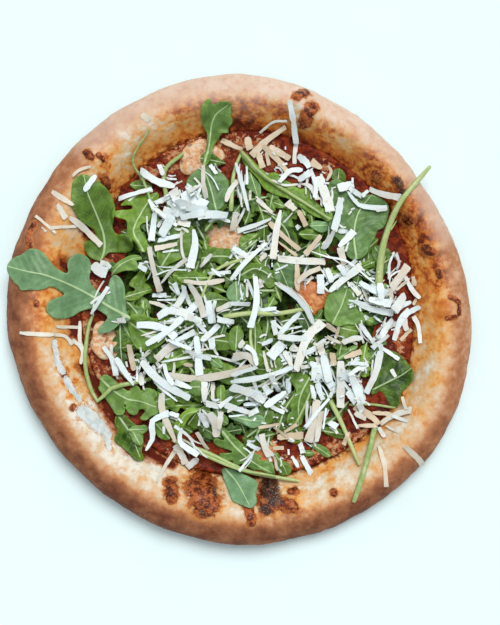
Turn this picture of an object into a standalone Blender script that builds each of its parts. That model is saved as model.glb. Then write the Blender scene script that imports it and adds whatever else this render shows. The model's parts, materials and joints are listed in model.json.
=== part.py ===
"""A whole pizza: a puffed, blistered rim round a thin base, tomato sauce, pools of melted
cheese, and a loose heap of rocket leaves with shavings of hard cheese.

Lengths below are in millimetres and the meshes are made in metres, +Z up, with the origin
under the middle of the crust, on the surface that it rests on.
"""

import math
import random

import bmesh
import bpy
import numpy as np
from mathutils import Vector
from mathutils.bvhtree import BVHTree

MM = 0.001

# Driving dimensions of the crust. A row of twelve holds one value every 30 degrees,
# anticlockwise from +X.
OUTER_RADII = (143.5, 138, 141.5, 147, 146, 144.5, 145.5, 142.5, 142.5, 146.5, 147, 148.5)
INNER_RADII = (107, 110, 110, 110.5, 107, 100, 98, 98, 101, 103, 107, 111)
RIM_HEIGHTS = (21, 20, 22, 23.5, 22, 24, 23, 24.5, 23, 22, 21, 22.5)
BASE_THICKNESS = 4
CREST_SHARE = 0.42
BELLY_SHARE = 0.36
UNDERCUT_SHARE = 0.17
INNER_PUFF = 0.75
RIM_WAVE = 0.45
LOWEST_RELIEF = 0.4
CRUST_SEGMENTS = 120

# Blisters and puffed spots on the rim: x, y, radius, height.
BLISTERS = (
    (-41, -112, 8, 2.6),
    (-23, -114, 13, 3.6),
    (19, -116, 11, 3.2),
    (31, -121, 10, 2.0),
    (6, -129, 7, 1.4),
    (57, -112, 5, 1.2),
    (37, 128, 8, 2.2),
    (42, 118, 11, 2.6),
    (7, 124, 14, 1.8),
    (-35, 122, 12, 1.6),
    (-89, 92, 11, 2.0),
    (-129, 43, 8, 1.4),
    (100, 77, 8, 1.6),
    (107, 59, 11, 1.8),
    (118, 38, 10, 1.8),
    (129, -1, 9, 1.5),
)

# Sauce and melted cheese. A pool is x, y, radius, thickness, and its section is a share of
# the radius with a share of the thickness.
GAP = 0.3
SAUCE_FLOOR = BASE_THICKNESS + GAP
SAUCE_THICKNESS = 1.2
SAUCE_WAVE = 0.25
SAUCE_INSET = 1.2
SAUCE_LIP = 0.7
SAUCE_SEGMENTS = 60
PILE_FLOOR = SAUCE_FLOOR + SAUCE_THICKNESS + SAUCE_WAVE + GAP
POOL_SEGMENTS = 22
POOL_SECTION = ((1, 0.35), (0.86, 0.85), (0.5, 1))
POOLS = (
    (-25, 95, 11.5, 2.2),
    (-10, 43, 12, 2.4),
    (44, 8, 10.5, 2.2),
    (-84, -21, 10, 2.0),
    (14, -92, 9.5, 1.8),
)

# The heap of salad: its core, then the leaves, then the shavings.
CORE_RADII = (88, 90, 80, 72, 76, 82, 78, 78, 84, 82, 82, 86)
CORE_CROWN = 13.5
CORE_EDGE = 8.5
CORE_LIP = 1.2
CORE_LUMPS = 0.9
CORE_SEGMENTS = 36
POOL_MARGIN = 1.2

# Leaves and shavings. A leaf keeps clear of the crust, sauce and pools and rises a little
# over the pile, and a shaving sinks a little into what it lies on, so that they join.
LEAF_THICKNESS = 0.9
STEM_THICKNESS = 2.0
LOBE_SWEEP = 0.3
LEAF_CURL = 0.16
LEAF_LIFT = 0.3
ROOT_DEPTH = 2.2
MOST_DROOP = 0.25
SHAVING_THICKNESS = 1.0
STRIP_STATIONS = 4
TORN_END = 0.62
CLEARANCE = 0.8
LEAF_REACH = 2.5
STRIP_REACH = 1.5
SINK = 0.5
RIM_SINK = 0.2
RIM_STIFFNESS = 0.6
RESTING_SPOTS = 11

# Half widths of each kind of leaf along its midrib: share of the length, share of the width.
LEAF_KINDS = {
    "lobed": (
        (0, 0.10), (0.16, 0.16), (0.25, 0.62), (0.32, 0.28), (0.44, 1.0),
        (0.56, 0.24), (0.68, 0.55), (0.82, 0.72), (0.94, 0.5), (1, 0.1),
    ),
    "oval": (
        (0, 0.14), (0.28, 0.2), (0.42, 0.7), (0.6, 1.0), (0.8, 0.9), (0.93, 0.55), (1, 0.1),
    ),
    "frilly": (
        (0, 0.14), (0.14, 0.24), (0.24, 0.8), (0.32, 0.4), (0.44, 1.0),
        (0.54, 0.5), (0.68, 1.0), (0.78, 0.6), (0.9, 0.6), (1, 0.1),
    ),
    "stem": ((0, 1), (0.2, 0.9), (0.4, 0.85), (0.6, 0.85), (0.8, 0.9), (1, 0.7)),
}

# Leaves whose place shows: kind, half width, then the points that the midrib follows,
# from its root in the heap to its tip.
LEAVES = (
    ("lobed", 17, ((-67, -6), (-90, 7), (-143, 25))),
    ("oval", 12, ((-66, 8), (-86, 44), (-96, 79))),
    ("oval", 6, ((-56, 40), (-70, 42), (-84, 40))),
    ("oval", 8.5, ((-21, 62), (-23, 92), (-11, 126))),
    ("stem", 1.3, ((-50, 50), (-67, 90), (-56, 109))),
    ("oval", 5, ((-44, 55), (-58, 74), (-70, 80))),
    ("stem", 1.4, ((-42, 54), (-41, 84), (-34, 96))),
    ("frilly", 11, ((-56, 24), (-64, 48), (-70, 71))),
    ("oval", 11, ((-14, 58), (-22, 72), (-31, 88))),
    ("oval", 10, ((-22, 26), (-34, 38), (-49, 48))),
    ("oval", 7, ((60, 50), (34, 72), (1, 98))),
    ("oval", 16, ((56, 28), (70, 52), (86, 80))),
    ("stem", 2.6, ((80, 6), (93, 54), (118, 87))),
    ("oval", 11, ((76, -12), (66, -4), (51, 9))),
    ("frilly", 9.5, ((66, -36), (86, -44), (104, -38))),
    ("stem", 1.5, ((52, -50), (64, -74), (73, -98))),
    ("oval", 9, ((12, -72), (4, -100), (-8, -121))),
    ("stem", 1.5, ((-38, -62), (-22, -90), (6, -103), (36, -107))),
    ("stem", 1.6, ((-56, -44), (-84, -58), (-96, -34), (-93, -4))),
    ("frilly", 13, ((-48, -40), (-68, -56), (-88, -68))),
    ("frilly", 8, ((-46, -56), (-64, -78), (-76, -92))),
    ("oval", 6, ((-24, -61), (-35, -68), (-42, -81))),
    ("oval", 4.5, ((38, -62), (48, -80), (56, -92))),
    ("oval", 7, ((-6, 30), (6, 40), (22, 48))),
    ("oval", 6, ((-16, 40), (8, 30), (32, 23))),
    ("oval", 8, ((36, 40), (48, 48), (58, 54))),
    ("frilly", 9, ((-30, -4), (-46, 4), (-62, 10))),
    ("oval", 8, ((20, -10), (8, 0), (-10, 2))),
    ("frilly", 9, ((30, -50), (24, -66), (20, -84))),
    ("frilly", 10, ((-14, -70), (-2, -84), (22, -94))),
    ("frilly", 9, ((-10, -30), (-22, -44), (-30, -58))),
    ("oval", 9, ((50, -22), (66, -28), (80, -36))),
    ("frilly", 8, ((10, 60), (22, 72), (28, 90))),
    ("oval", 7, ((54, -47), (44, -62), (40, -76))),
)

# Shavings whose place shows, lying on the heap: width, then the points along the strip.
SHAVINGS = (
    (4.0, ((-44, -41), (-18, -44), (9, -33))),
    (3.6, ((-21, -46), (10, -46), (40, -37))),
    (5.6, ((-62, -35), (-50, -50), (-31, -58))),
    (5.0, ((5, -12), (6, 2), (8, 17))),
    (3.4, ((-12, 8), (2, 22), (15, 36))),
    (3.6, ((-33, 16), (-18, 15), (-4, 16))),
    (3.6, ((20, 21), (23, 40), (26, 59))),
    (4.2, ((21, 15), (34, 4), (47, -12))),
    (4.8, ((-30, 49), (-30, 36), (-28, 23))),
    (3.6, ((-57, 49), (-55, 30), (-48, 11))),
    (5.6, ((32, -40), (42, -24), (51, -9))),
    (4.6, ((-56, -22), (-40, -13), (-27, 2))),
    (5.0, ((-63, -10), (-44, -12), (-25, -19))),
    (3.6, ((30, 128), (34, 106), (40, 84))),
    (3.4, ((30, 116), (22, 104), (20, 84))),
    (4.0, ((-70, 58), (-54, 64), (-40, 68))),
    (3.6, ((76, 66), (84, 60), (100, 62))),
    (5.0, ((58, 60), (62, 44), (60, 26))),
)

# Clumps of shavings on the heap: x, y, reach along x, reach along y, strips.
CLUMPS = (
    (-31, 64, 17, 12, 6),
    (-31, -20, 26, 13, 6),
    (75, 11, 23, 24, 9),
    (68, -42, 15, 16, 6),
    (94, 6, 5, 22, 4),
    (19, 84, 13, 9, 4),
    (41, -26, 17, 13, 5),
    (-6, 17, 20, 14, 4),
    (-66, -33, 10, 10, 4),
    (-6, -54, 22, 14, 5),
    (31, -69, 20, 11, 5),
    (16, 64, 20, 14, 5),
    (46, 76, 9, 12, 2),
    (78, -64, 11, 9, 4),
)
CLUMP_SEED = 7
SHAVING_LENGTHS = (13, 30)
SHAVING_WIDTHS = (3.2, 5.2)
SHAVING_BEND = 0.25
SHAVING_ROLL = 0.35

# Strips and a stem that lie on the rim alone: width, then the points along each.
RIM_SHAVINGS = (
    (4.4, ((-104, 86), (-99, 82))),
    (3.8, ((-115, 73), (-104, 65))),
    (3.6, ((-111, 63), (-106, 56))),
    (3.0, ((-125, 54), (-117, 47), (-112, 44))),
    (3.4, ((-120, 46), (-110, 50), (-101, 49))),
    (3.2, ((-135, -20), (-118, -18), (-106, -24))),
    (3.2, ((-49, -108), (-41, -92))),
    (3.0, ((86, -87), (90, -110))),
    (3.4, ((100, -85), (111, -97))),
    (5.0, ((-60, 115), (-56, 117))),
    (3.0, ((98, 76), (88, 79))),
)
RIM_STEM = (3.4, ((83, -82), (78, -98), (69, -118)))


def around_the_clock(values, angle):
    """The value at an angle, on a smooth closed curve through evenly spaced values."""
    place = (angle / math.tau) % 1 * len(values)
    i = int(place)
    t = place - i
    a, b, c, d = (values[(i + k) % len(values)] for k in (-1, 0, 1, 2))
    steep = (c - a) / 2, (d - b) / 2
    return (
        b * (1 + 2 * t) * (1 - t) ** 2 + steep[0] * t * (1 - t) ** 2
        + c * t * t * (3 - 2 * t) - steep[1] * t * t * (1 - t)
    )


def along(points, shares):
    """Places on a smooth flat curve through the points, each with the curve's heading there.
    Shares are parts of the curve's length, or the number of evenly spaced places."""
    points = [Vector((x, y, 0)) for x, y in points]
    first = points[0] * 2 - points[1]
    last = points[-1] * 2 - points[-2]
    padded = [first, *points, last]
    fine = []
    for a, b, c, d in zip(padded, padded[1:], padded[2:], padded[3:]):
        for k in range(12):
            t = k / 12
            fine.append(0.5 * (
                2 * b + (c - a) * t + (2 * a - 5 * b + 4 * c - d) * t ** 2
                + (3 * b - a - 3 * c + d) * t ** 3
            ))
    fine.append(points[-1])
    lengths = np.cumsum([0] + [(q - p).length for p, q in zip(fine, fine[1:])])
    if isinstance(shares, int):
        shares = np.linspace(0, 1, shares)
    places = []
    for reach in np.array(shares) * lengths[-1]:
        at = min(int(np.searchsorted(lengths, reach, "right")) - 1, len(fine) - 2)
        step = (reach - lengths[at]) / (lengths[at + 1] - lengths[at])
        heading = (fine[at + 1] - fine[at]).normalized()
        places.append((fine[at].lerp(fine[at + 1], min(step, 1)), heading))
    return places


def new_object(name, points, faces, material=None):
    """A mesh object from points in millimetres."""
    mesh = bpy.data.meshes.new(name)
    mesh.from_pydata([tuple(c * MM for c in p) for p in points], [], faces)
    mesh.validate()
    item = bpy.data.objects.new(name, mesh)
    bpy.context.scene.collection.objects.link(item)
    if material:
        mesh.materials.append(material)
    return item


def new_material(name, colour, roughness):
    material = bpy.data.materials.new(name)
    material.use_nodes = True
    shader = material.node_tree.nodes["Principled BSDF"]
    shader.inputs["Base Color"].default_value = (*colour, 1)
    shader.inputs["Roughness"].default_value = roughness
    shader.inputs["Metallic"].default_value = 0
    return material


def surface_of(item):
    """A tree that finds the height of an object's top from above."""
    corners = [v.co / MM for v in item.data.vertices]
    return BVHTree.FromPolygons(corners, [tuple(p.vertices) for p in item.data.polygons])


def height_at(trees, x, y):
    """The highest point of the surfaces under (x, y), or 0 where there is none."""
    top = 0.0
    for tree in trees:
        hit = tree.ray_cast(Vector((x, y, 200)), Vector((0, 0, -1)))[0]
        if hit:
            top = max(top, hit.z)
    return top


def height_near(trees, x, y, reach):
    """The highest point of the surfaces within a small reach of (x, y)."""
    steps = ((0, 0), (1, 0), (-1, 0), (0, 1), (0, -1))
    return max(height_at(trees, x + reach * i, y + reach * j) for i, j in steps)


def ring_faces(lower, upper, count):
    """Quads between two rings of points, whose first points are numbered lower and upper."""
    return [
        (lower + i, lower + (i + 1) % count, upper + (i + 1) % count, upper + i)
        for i in range(count)
    ]


def rim_relief(x, y):
    """How far the rim's skin stands out at a place: its blisters and a slow unevenness."""
    relief = RIM_WAVE * math.sin(x * 0.11 + 1.3) * math.sin(y * 0.13 + 0.4)
    for bx, by, radius, height in BLISTERS:
        away = math.hypot(x - bx, y - by) / radius
        if away < 1:
            relief += height * (0.5 + 0.5 * math.cos(math.pi * away))
    return relief


def rim_profile(angle):
    """Radius and height of the rim's skin at an angle, from the edge that it rests on, over
    its crest, to the foot of its inner wall."""
    outer = around_the_clock(OUTER_RADII, angle)
    inner = around_the_clock(INNER_RADII, angle)
    height = around_the_clock(RIM_HEIGHTS, angle)
    width = outer - inner
    belly = BELLY_SHARE * height
    crest = outer - CREST_SHARE * width
    undercut = UNDERCUT_SHARE * width
    profile = []
    for turn in (90, 45):
        turn = math.radians(turn)
        profile.append((outer - undercut * (1 - math.cos(turn)), belly * (1 - math.sin(turn))))
    for turn in (0, 30, 60, 90):
        turn = math.radians(turn)
        rise = (height - belly) * math.sin(turn)
        profile.append((crest + CREST_SHARE * width * math.cos(turn), belly + rise))
    for share in (0.2, 0.4, 0.6, 0.8, 1):
        fall = ((1 + math.cos(math.pi * share)) / 2) ** INNER_PUFF
        level = BASE_THICKNESS + (height - BASE_THICKNESS) * fall
        profile.append((crest - (crest - inner) * share, level))
    return profile, (crest, belly)


def make_crust(material):
    columns = []
    for i in range(CRUST_SEGMENTS):
        angle = math.tau * i / CRUST_SEGMENTS
        profile, (crest, belly) = rim_profile(angle)
        column = []
        for number, (radius, z) in enumerate(profile):
            if 0 < number < len(profile) - 1:
                x = radius * math.cos(angle)
                y = radius * math.sin(angle)
                out = Vector((radius - crest, z - belly)).normalized() * rim_relief(x, y)
                radius += out.x
                z = max(z + out.y, LOWEST_RELIEF)
            column.append((radius * math.cos(angle), radius * math.sin(angle), z))
        columns.append(column)
    rings = len(columns[0])
    points = [columns[i][ring] for ring in range(rings) for i in range(CRUST_SEGMENTS)]
    faces = []
    for ring in range(rings - 1):
        lower = ring * CRUST_SEGMENTS
        faces += ring_faces(lower, lower + CRUST_SEGMENTS, CRUST_SEGMENTS)
    points += [(0, 0, 0), (0, 0, BASE_THICKNESS)]
    top = (rings - 1) * CRUST_SEGMENTS
    for i in range(CRUST_SEGMENTS):
        after = (i + 1) % CRUST_SEGMENTS
        faces.append((after, i, len(points) - 2))
        faces.append((top + i, top + after, len(points) - 1))
    return new_object("crust", points, faces, material)


def layered_disc(name, centre, radius_at, segments, floor, levels, material=None):
    """A closed slab with a flat underside at the floor. Each level is a share of the outline's
    radius and the height of the top there, as a number or as a function of x and y."""

    def spot(share, z, angle):
        reach = share * radius_at(angle)
        x = centre[0] + reach * math.cos(angle)
        y = centre[1] + reach * math.sin(angle)
        return x, y, z(x, y) if callable(z) else z

    angles = [math.tau * i / segments for i in range(segments)]
    rings = [(levels[0][0], floor), *levels]
    points = [spot(share, z, angle) for share, z in rings for angle in angles]
    points += [spot(0, floor, 0), spot(0, levels[-1][1], 0)]
    top = len(levels) * segments
    faces = []
    for ring in range(len(levels)):
        faces += ring_faces(ring * segments, (ring + 1) * segments, segments)
    for i in range(segments):
        after = (i + 1) % segments
        faces.append((after, i, len(points) - 2))
        faces.append((top + i, top + after, len(points) - 1))
    return new_object(name, points, faces, material)


def sauce_radius(angle):
    return around_the_clock(INNER_RADII, angle) - SAUCE_INSET


def sauce_top(x, y):
    return SAUCE_FLOOR + SAUCE_THICKNESS + SAUCE_WAVE * math.sin(x * 0.12) * math.sin(y * 0.1 + 1)


def make_sauce(material):
    levels = [(1, SAUCE_FLOOR + SAUCE_LIP)]
    levels += [(share, sauce_top) for share in (0.965, 0.8, 0.45)]
    return layered_disc(
        "tomato_sauce", (0, 0), sauce_radius, SAUCE_SEGMENTS, SAUCE_FLOOR, levels, material
    )


def pool_edge(number, radius):
    """The uneven edge of one pool, as a function of the angle."""

    def radius_at(angle):
        wave = 0.16 * math.sin(2 * angle + number) + 0.1 * math.sin(3 * angle + 2.3 * number)
        return radius * (1 + wave + 0.05 * math.sin(5 * angle + number))

    return radius_at


def make_pools(material):
    pools = []
    for number, (x, y, radius, thickness) in enumerate(POOLS, 1):
        levels = [(share, PILE_FLOOR + rise * thickness) for share, rise in POOL_SECTION]
        edge = pool_edge(number, radius)
        name = f"melted_cheese_{number}"
        pools.append(
            layered_disc(name, (x, y), edge, POOL_SEGMENTS, PILE_FLOOR, levels, material)
        )
    return pools


def core_radius(angle):
    return around_the_clock(CORE_RADII, angle)


def core_top(x, y):
    """The height of the heap's core, which is higher in the middle and lumpy."""
    share = math.hypot(x, y) / core_radius(math.atan2(y, x))
    lumps = CORE_LUMPS * math.sin(x * 0.16 + 0.5) * math.sin(y * 0.14 + 1.1)
    return CORE_CROWN - (CORE_CROWN - CORE_EDGE) * share ** 2 + lumps * (1 - share ** 4)


def make_core():
    """The packed middle of the heap, open where a pool of cheese shows through it."""
    levels = [(1, CORE_EDGE - CORE_LIP)]
    levels += [(share, core_top) for share in (0.94, 0.7, 0.45, 0.22)]
    core = layered_disc("core", (0, 0), core_radius, CORE_SEGMENTS, PILE_FLOOR, levels)
    for number, (x, y, radius, _) in enumerate(POOLS, 1):
        edge = pool_edge(number, radius + POOL_MARGIN)
        cutter = layered_disc("cutter", (x, y), edge, POOL_SEGMENTS, 0, ((1, 2 * CORE_CROWN),))
        combine(core, "DIFFERENCE", cutter)
        bpy.data.objects.remove(cutter)
    return core


def combine(item, operation, other):
    """Cuts a mesh from another, or joins to it all the meshes of a collection, and applies it."""
    modifier = item.modifiers.new("combine", "BOOLEAN")
    modifier.operation = operation
    modifier.solver = "EXACT"
    if operation == "UNION":
        modifier.operand_type = "COLLECTION"
        modifier.collection = other
    else:
        modifier.object = other
    graph = bpy.context.evaluated_depsgraph_get()
    combined = bpy.data.meshes.new_from_object(item.evaluated_get(graph))
    item.modifiers.clear()
    item.data = combined


def sheet(name, grid, thickness):
    """A thin closed solid from rows of points, both faces split into triangles alike."""
    rows, across = len(grid), len(grid[0])
    under = [tuple(p) for row in grid for p in row]
    over = [(x, y, z + thickness) for x, y, z in under]
    shift = len(under)
    faces = []
    for i in range(rows - 1):
        for j in range(across - 1):
            a, b = i * across + j, i * across + j + 1
            c, d = b + across, a + across
            flip = (i + j) % 2
            for triple in ((a, b, c), (a, c, d)) if flip else ((a, b, d), (b, c, d)):
                faces.append(tuple(n + shift for n in triple))
                faces.append(triple[::-1])
    edge = [(0, j) for j in range(across)] + [(i, across - 1) for i in range(1, rows)]
    edge += [(rows - 1, j) for j in range(across - 2, -1, -1)]
    edge += [(i, 0) for i in range(rows - 2, 0, -1)]
    loop = [i * across + j for i, j in edge]
    for a, b in zip(loop, loop[1:] + loop[:1]):
        faces.append((a, b, b + shift, a + shift))
    item = new_object(name, under + over, faces)
    outward(item)
    return item


def outward(item):
    """Turns every face of a closed mesh to the outside."""
    mesh = bmesh.new()
    mesh.from_mesh(item.data)
    bmesh.ops.recalc_face_normals(mesh, faces=mesh.faces)
    mesh.to_mesh(item.data)
    mesh.free()


def leaf_levels(places, plan, grounds, pile):
    """The height of a leaf at each place of its midrib: clear of all that is under it, never
    hanging down steeply, and with its root run down into the core."""
    levels = []
    for (centre, _), row in zip(places, plan):
        spots = [*row, centre]
        ground = max(height_near(grounds, p.x, p.y, LEAF_REACH) for p in spots) + CLEARANCE
        resting = max(height_near(pile, p.x, p.y, STRIP_REACH) for p in spots) + LEAF_LIFT
        levels.append(max(ground, resting))
    for _ in range(2):
        for i in range(1, len(levels) - 1):
            levels[i] = max(levels[i], (levels[i - 1] + levels[i + 1]) / 2)
    for i in range(1, len(levels)):
        step = (places[i][0] - places[i - 1][0]).length
        levels[i] = max(levels[i], levels[i - 1] - MOST_DROOP * step)
    root = places[0][0]
    levels[0] = core_top(root.x, root.y) - ROOT_DEPTH
    return levels


def make_leaf(name, kind, half_width, points, grounds, pile, draw):
    """One leaf: a wavy sheet with the outline of its kind."""
    outline = LEAF_KINDS[kind]
    columns, thickness, sweep, curl = (-1, 0, 1), LEAF_THICKNESS, LOBE_SWEEP, LEAF_CURL
    if kind == "stem":
        columns, thickness, sweep, curl = (-1, 1), STEM_THICKNESS, 0, 0
    places = along(points, [share for share, _ in outline])
    plan = []
    for (centre, heading), (_, width) in zip(places, outline):
        reach = width * half_width
        side = Vector((-heading.y, heading.x, 0))
        plan.append([
            centre + side * column * reach + heading * sweep * reach * abs(column)
            for column in columns
        ])
    levels = leaf_levels(places, plan, grounds, pile)
    phases = draw.uniform(0, math.tau), draw.uniform(0, math.tau)
    grid = []
    for i, (row, level) in enumerate(zip(plan, levels)):
        line = []
        for column, p in zip(columns, row):
            wave = 0.5 + 0.5 * math.sin(i * 1.9 + phases[column > 0])
            lift = curl * half_width * wave * abs(column) if i else 0
            line.append((p.x, p.y, level + lift))
        grid.append(line)
    return sheet(name, grid, thickness)


def make_strip(name, width, points, levels, thickness, roll=0.0):
    """One shaving: a flat strip with narrower, torn ends, at the levels given along it."""
    places = along(points, len(levels))
    last = len(levels) - 1
    section = ((-0.5, 0), (0.5, 0), (0.5, 1), (-0.5, 1))
    corners = []
    for i, ((centre, heading), level) in enumerate(zip(places, levels)):
        side = Vector((-heading.y, heading.x, 0))
        narrow = TORN_END if i in (0, last) else 1
        across = side * math.cos(roll) + Vector((0, 0, math.sin(roll)))
        up = Vector((0, 0, math.cos(roll))) - side * math.sin(roll)
        for s, t in section:
            p = centre + across * s * width * narrow + up * t * thickness
            corners.append((p.x, p.y, p.z + level))
    faces = [(3, 2, 1, 0), tuple(4 * last + k for k in range(4))]
    for i in range(last):
        faces += ring_faces(4 * i, 4 * (i + 1), 4)
    item = new_object(name, corners, faces)
    outward(item)
    return item


def resting_levels(points, width, grounds, pile):
    """The heights along a straight strip that is laid down onto what is under it."""
    needed = []
    for centre, heading in along(points, RESTING_SPOTS):
        side = Vector((-heading.y, heading.x, 0)) * width * 0.5
        spots = (centre + side, centre, centre - side)
        ground = max(height_near(grounds, p.x, p.y, STRIP_REACH) for p in spots) + CLEARANCE
        resting = max(height_at(pile, p.x, p.y) for p in spots) - SINK
        needed.append(max(ground, resting))
    line = np.linspace(needed[0], needed[-1], RESTING_SPOTS)
    raised = max(level - straight for level, straight in zip(needed, line))
    return np.linspace(needed[0] + raised, needed[-1] + raised, STRIP_STATIONS)


def clump_strips(draw):
    """The shavings of every clump: width, points and roll, drawn with a fixed seed."""
    for x, y, reach_x, reach_y, count in CLUMPS:
        for _ in range(count):
            turn = draw.uniform(0, math.tau)
            away = math.sqrt(draw.random())
            middle = Vector((x + reach_x * away * math.cos(turn),
                             y + reach_y * away * math.sin(turn)))
            heading = draw.uniform(0, math.pi)
            half = draw.uniform(*SHAVING_LENGTHS) / 2
            step = Vector((math.cos(heading), math.sin(heading))) * half
            bend = Vector((-step.y, step.x)) * draw.uniform(-SHAVING_BEND, SHAVING_BEND)
            ends = middle - step, middle + bend, middle + step
            yield (
                draw.uniform(*SHAVING_WIDTHS),
                tuple((p.x, p.y) for p in ends),
                draw.uniform(-SHAVING_ROLL, SHAVING_ROLL),
            )


def fuse(item, pieces):
    """Joins the pieces to an object and removes them."""
    group = bpy.data.collections.new("to_fuse")
    bpy.context.scene.collection.children.link(group)
    for piece in pieces:
        bpy.context.scene.collection.objects.unlink(piece)
        group.objects.link(piece)
    combine(item, "UNION", group)
    for piece in pieces:
        bpy.data.objects.remove(piece)
    bpy.data.collections.remove(group)
    keep_outer_skin(item)


def keep_outer_skin(item):
    """Keeps the largest connected surface, which fills a sealed hollow and drops a scrap."""
    mesh = bmesh.new()
    mesh.from_mesh(item.data)
    bmesh.ops.triangulate(mesh, faces=mesh.faces)
    unseen = set(mesh.verts)
    surfaces = []
    while unseen:
        front = [unseen.pop()]
        surface = list(front)
        while front:
            for edge in front.pop().link_edges:
                found = unseen.intersection(edge.verts)
                unseen -= found
                front += found
                surface += found
        surfaces.append(surface)
    surfaces.sort(key=len)
    for surface in surfaces[:-1]:
        bmesh.ops.delete(mesh, geom=surface, context="VERTS")
    mesh.to_mesh(item.data)
    mesh.free()


def make_heap(grounds, material):
    heap = make_core()
    pile = [surface_of(heap)]
    pieces = []
    draw = random.Random(CLUMP_SEED)
    for number, (kind, half_width, points) in enumerate(LEAVES, 1):
        leaf = make_leaf(f"leaf_{number}", kind, half_width, points, grounds, pile, draw)
        pieces.append(leaf)
        pile.append(surface_of(leaf))
    strips = [(width, points, 0.0) for width, points in SHAVINGS]
    strips += clump_strips(draw)
    for number, (width, points, roll) in enumerate(strips, 1):
        levels = resting_levels(points, width, grounds, pile)
        name = f"shaving_{number}"
        strip = make_strip(name, width, points, levels, SHAVING_THICKNESS, roll)
        pieces.append(strip)
        pile.append(surface_of(strip))
    fuse(heap, pieces)
    heap.name = "rocket_and_shavings"
    heap.data.materials.clear()
    heap.data.materials.append(material)
    return heap


def make_rim_toppings(crust):
    """Shavings and a stem that lie on the rim alone, bent a little over it and joined to it."""
    grounds = [surface_of(crust)]
    strips = [(*row, SHAVING_THICKNESS) for row in RIM_SHAVINGS]
    strips.append((*RIM_STEM, STEM_THICKNESS))
    pieces = []
    for number, (width, points, thickness) in enumerate(strips, 1):
        places = along(points, STRIP_STATIONS)
        draped = [height_at(grounds, p.x, p.y) for p, _ in places]
        straight = np.linspace(draped[0], draped[-1], STRIP_STATIONS)
        levels = [
            max(z, z + RIM_STIFFNESS * (flat - z)) - RIM_SINK
            for z, flat in zip(draped, straight)
        ]
        name = f"rim_strip_{number}"
        pieces.append(make_strip(name, width, points, levels, thickness))
    fuse(crust, pieces)


def centre_on_origin(crust, items):
    """Moves every mesh so that the crust's box is centred on the origin."""
    xs = [v.co.x for v in crust.data.vertices]
    ys = [v.co.y for v in crust.data.vertices]
    shift = Vector(((min(xs) + max(xs)) / 2, (min(ys) + max(ys)) / 2, 0))
    for item in items:
        for vert in item.data.vertices:
            vert.co -= shift


def main():
    for item in list(bpy.data.objects):
        bpy.data.objects.remove(item)
    dough = new_material("baked_dough", (0.72, 0.42, 0.22), 0.75)
    tomato = new_material("tomato_sauce", (0.25, 0.025, 0.01), 0.35)
    melted = new_material("melted_cheese", (0.78, 0.52, 0.26), 0.45)
    salad = new_material("rocket_and_shaved_cheese", (0.22, 0.36, 0.12), 0.6)
    crust = make_crust(dough)
    sauce = make_sauce(tomato)
    pools = make_pools(melted)
    grounds = [surface_of(item) for item in (crust, sauce, *pools)]
    make_rim_toppings(crust)
    grounds.append(surface_of(crust))
    heap = make_heap(grounds, salad)
    items = [crust, sauce, *pools, heap]
    centre_on_origin(crust, items)
    for item in items:
        item.data.shade_smooth()
        item.data.set_sharp_from_angle(angle=math.radians(40))


main()
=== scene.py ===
# %% [markdown]
# # A pizza with rocket leaves and shaved cheese
#
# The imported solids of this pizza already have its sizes. This notebook gives each of them the
# surface of the real thing: a blistered rim, tomato sauce, pools of melted cheese, leaves with
# veins, and a few hundred strips of hard cheese. It starts by loading the solids, because
# every piece below sits where they say.

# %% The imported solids
import json
import math
import random

import bpy
import numpy as np
from mathutils import Matrix, Vector

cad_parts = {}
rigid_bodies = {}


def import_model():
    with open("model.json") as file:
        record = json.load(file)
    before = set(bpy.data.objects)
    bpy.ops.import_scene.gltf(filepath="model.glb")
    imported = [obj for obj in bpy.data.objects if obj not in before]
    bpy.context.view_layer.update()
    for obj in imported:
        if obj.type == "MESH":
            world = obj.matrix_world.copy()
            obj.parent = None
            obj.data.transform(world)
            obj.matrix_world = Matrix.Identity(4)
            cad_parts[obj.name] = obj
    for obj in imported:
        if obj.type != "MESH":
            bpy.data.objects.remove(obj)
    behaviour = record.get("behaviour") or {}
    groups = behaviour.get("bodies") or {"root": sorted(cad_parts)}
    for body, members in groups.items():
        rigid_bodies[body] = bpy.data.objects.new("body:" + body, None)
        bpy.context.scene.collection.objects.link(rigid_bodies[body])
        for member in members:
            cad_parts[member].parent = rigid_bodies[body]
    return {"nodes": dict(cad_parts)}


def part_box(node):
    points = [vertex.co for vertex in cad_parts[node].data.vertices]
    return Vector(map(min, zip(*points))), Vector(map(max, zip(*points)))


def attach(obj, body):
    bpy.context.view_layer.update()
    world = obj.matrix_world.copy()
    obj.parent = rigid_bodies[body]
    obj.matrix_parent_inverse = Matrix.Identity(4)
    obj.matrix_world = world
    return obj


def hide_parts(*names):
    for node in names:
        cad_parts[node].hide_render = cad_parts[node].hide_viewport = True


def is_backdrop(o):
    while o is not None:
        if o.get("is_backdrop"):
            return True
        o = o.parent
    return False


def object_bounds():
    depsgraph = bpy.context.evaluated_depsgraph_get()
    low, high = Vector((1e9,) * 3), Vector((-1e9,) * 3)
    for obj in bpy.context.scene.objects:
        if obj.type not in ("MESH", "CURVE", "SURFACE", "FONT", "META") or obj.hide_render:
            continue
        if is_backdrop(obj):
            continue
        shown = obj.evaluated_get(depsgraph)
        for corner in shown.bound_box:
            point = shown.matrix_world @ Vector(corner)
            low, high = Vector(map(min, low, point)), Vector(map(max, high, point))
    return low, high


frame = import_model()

cad_box = [list(corner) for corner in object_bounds()]
print("solids:", sorted(frame["nodes"]))
print("box of the solids, mm:", [[round(c * 1000, 1) for c in corner] for corner in cad_box])

# %% [markdown]
# ## The numbers that shape the pizza
#
# A hand-stretched pizza isn't a true circle. Twelve values, one every 30 degrees anticlockwise
# from +X, say how far its rim reaches, where the rim ends inside, and how high it stands. A
# smooth closed curve through them gives every value between. They are the same numbers that
# the solids were made from, so the two agree. Tables are in millimetres, meshes in metres.

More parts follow.
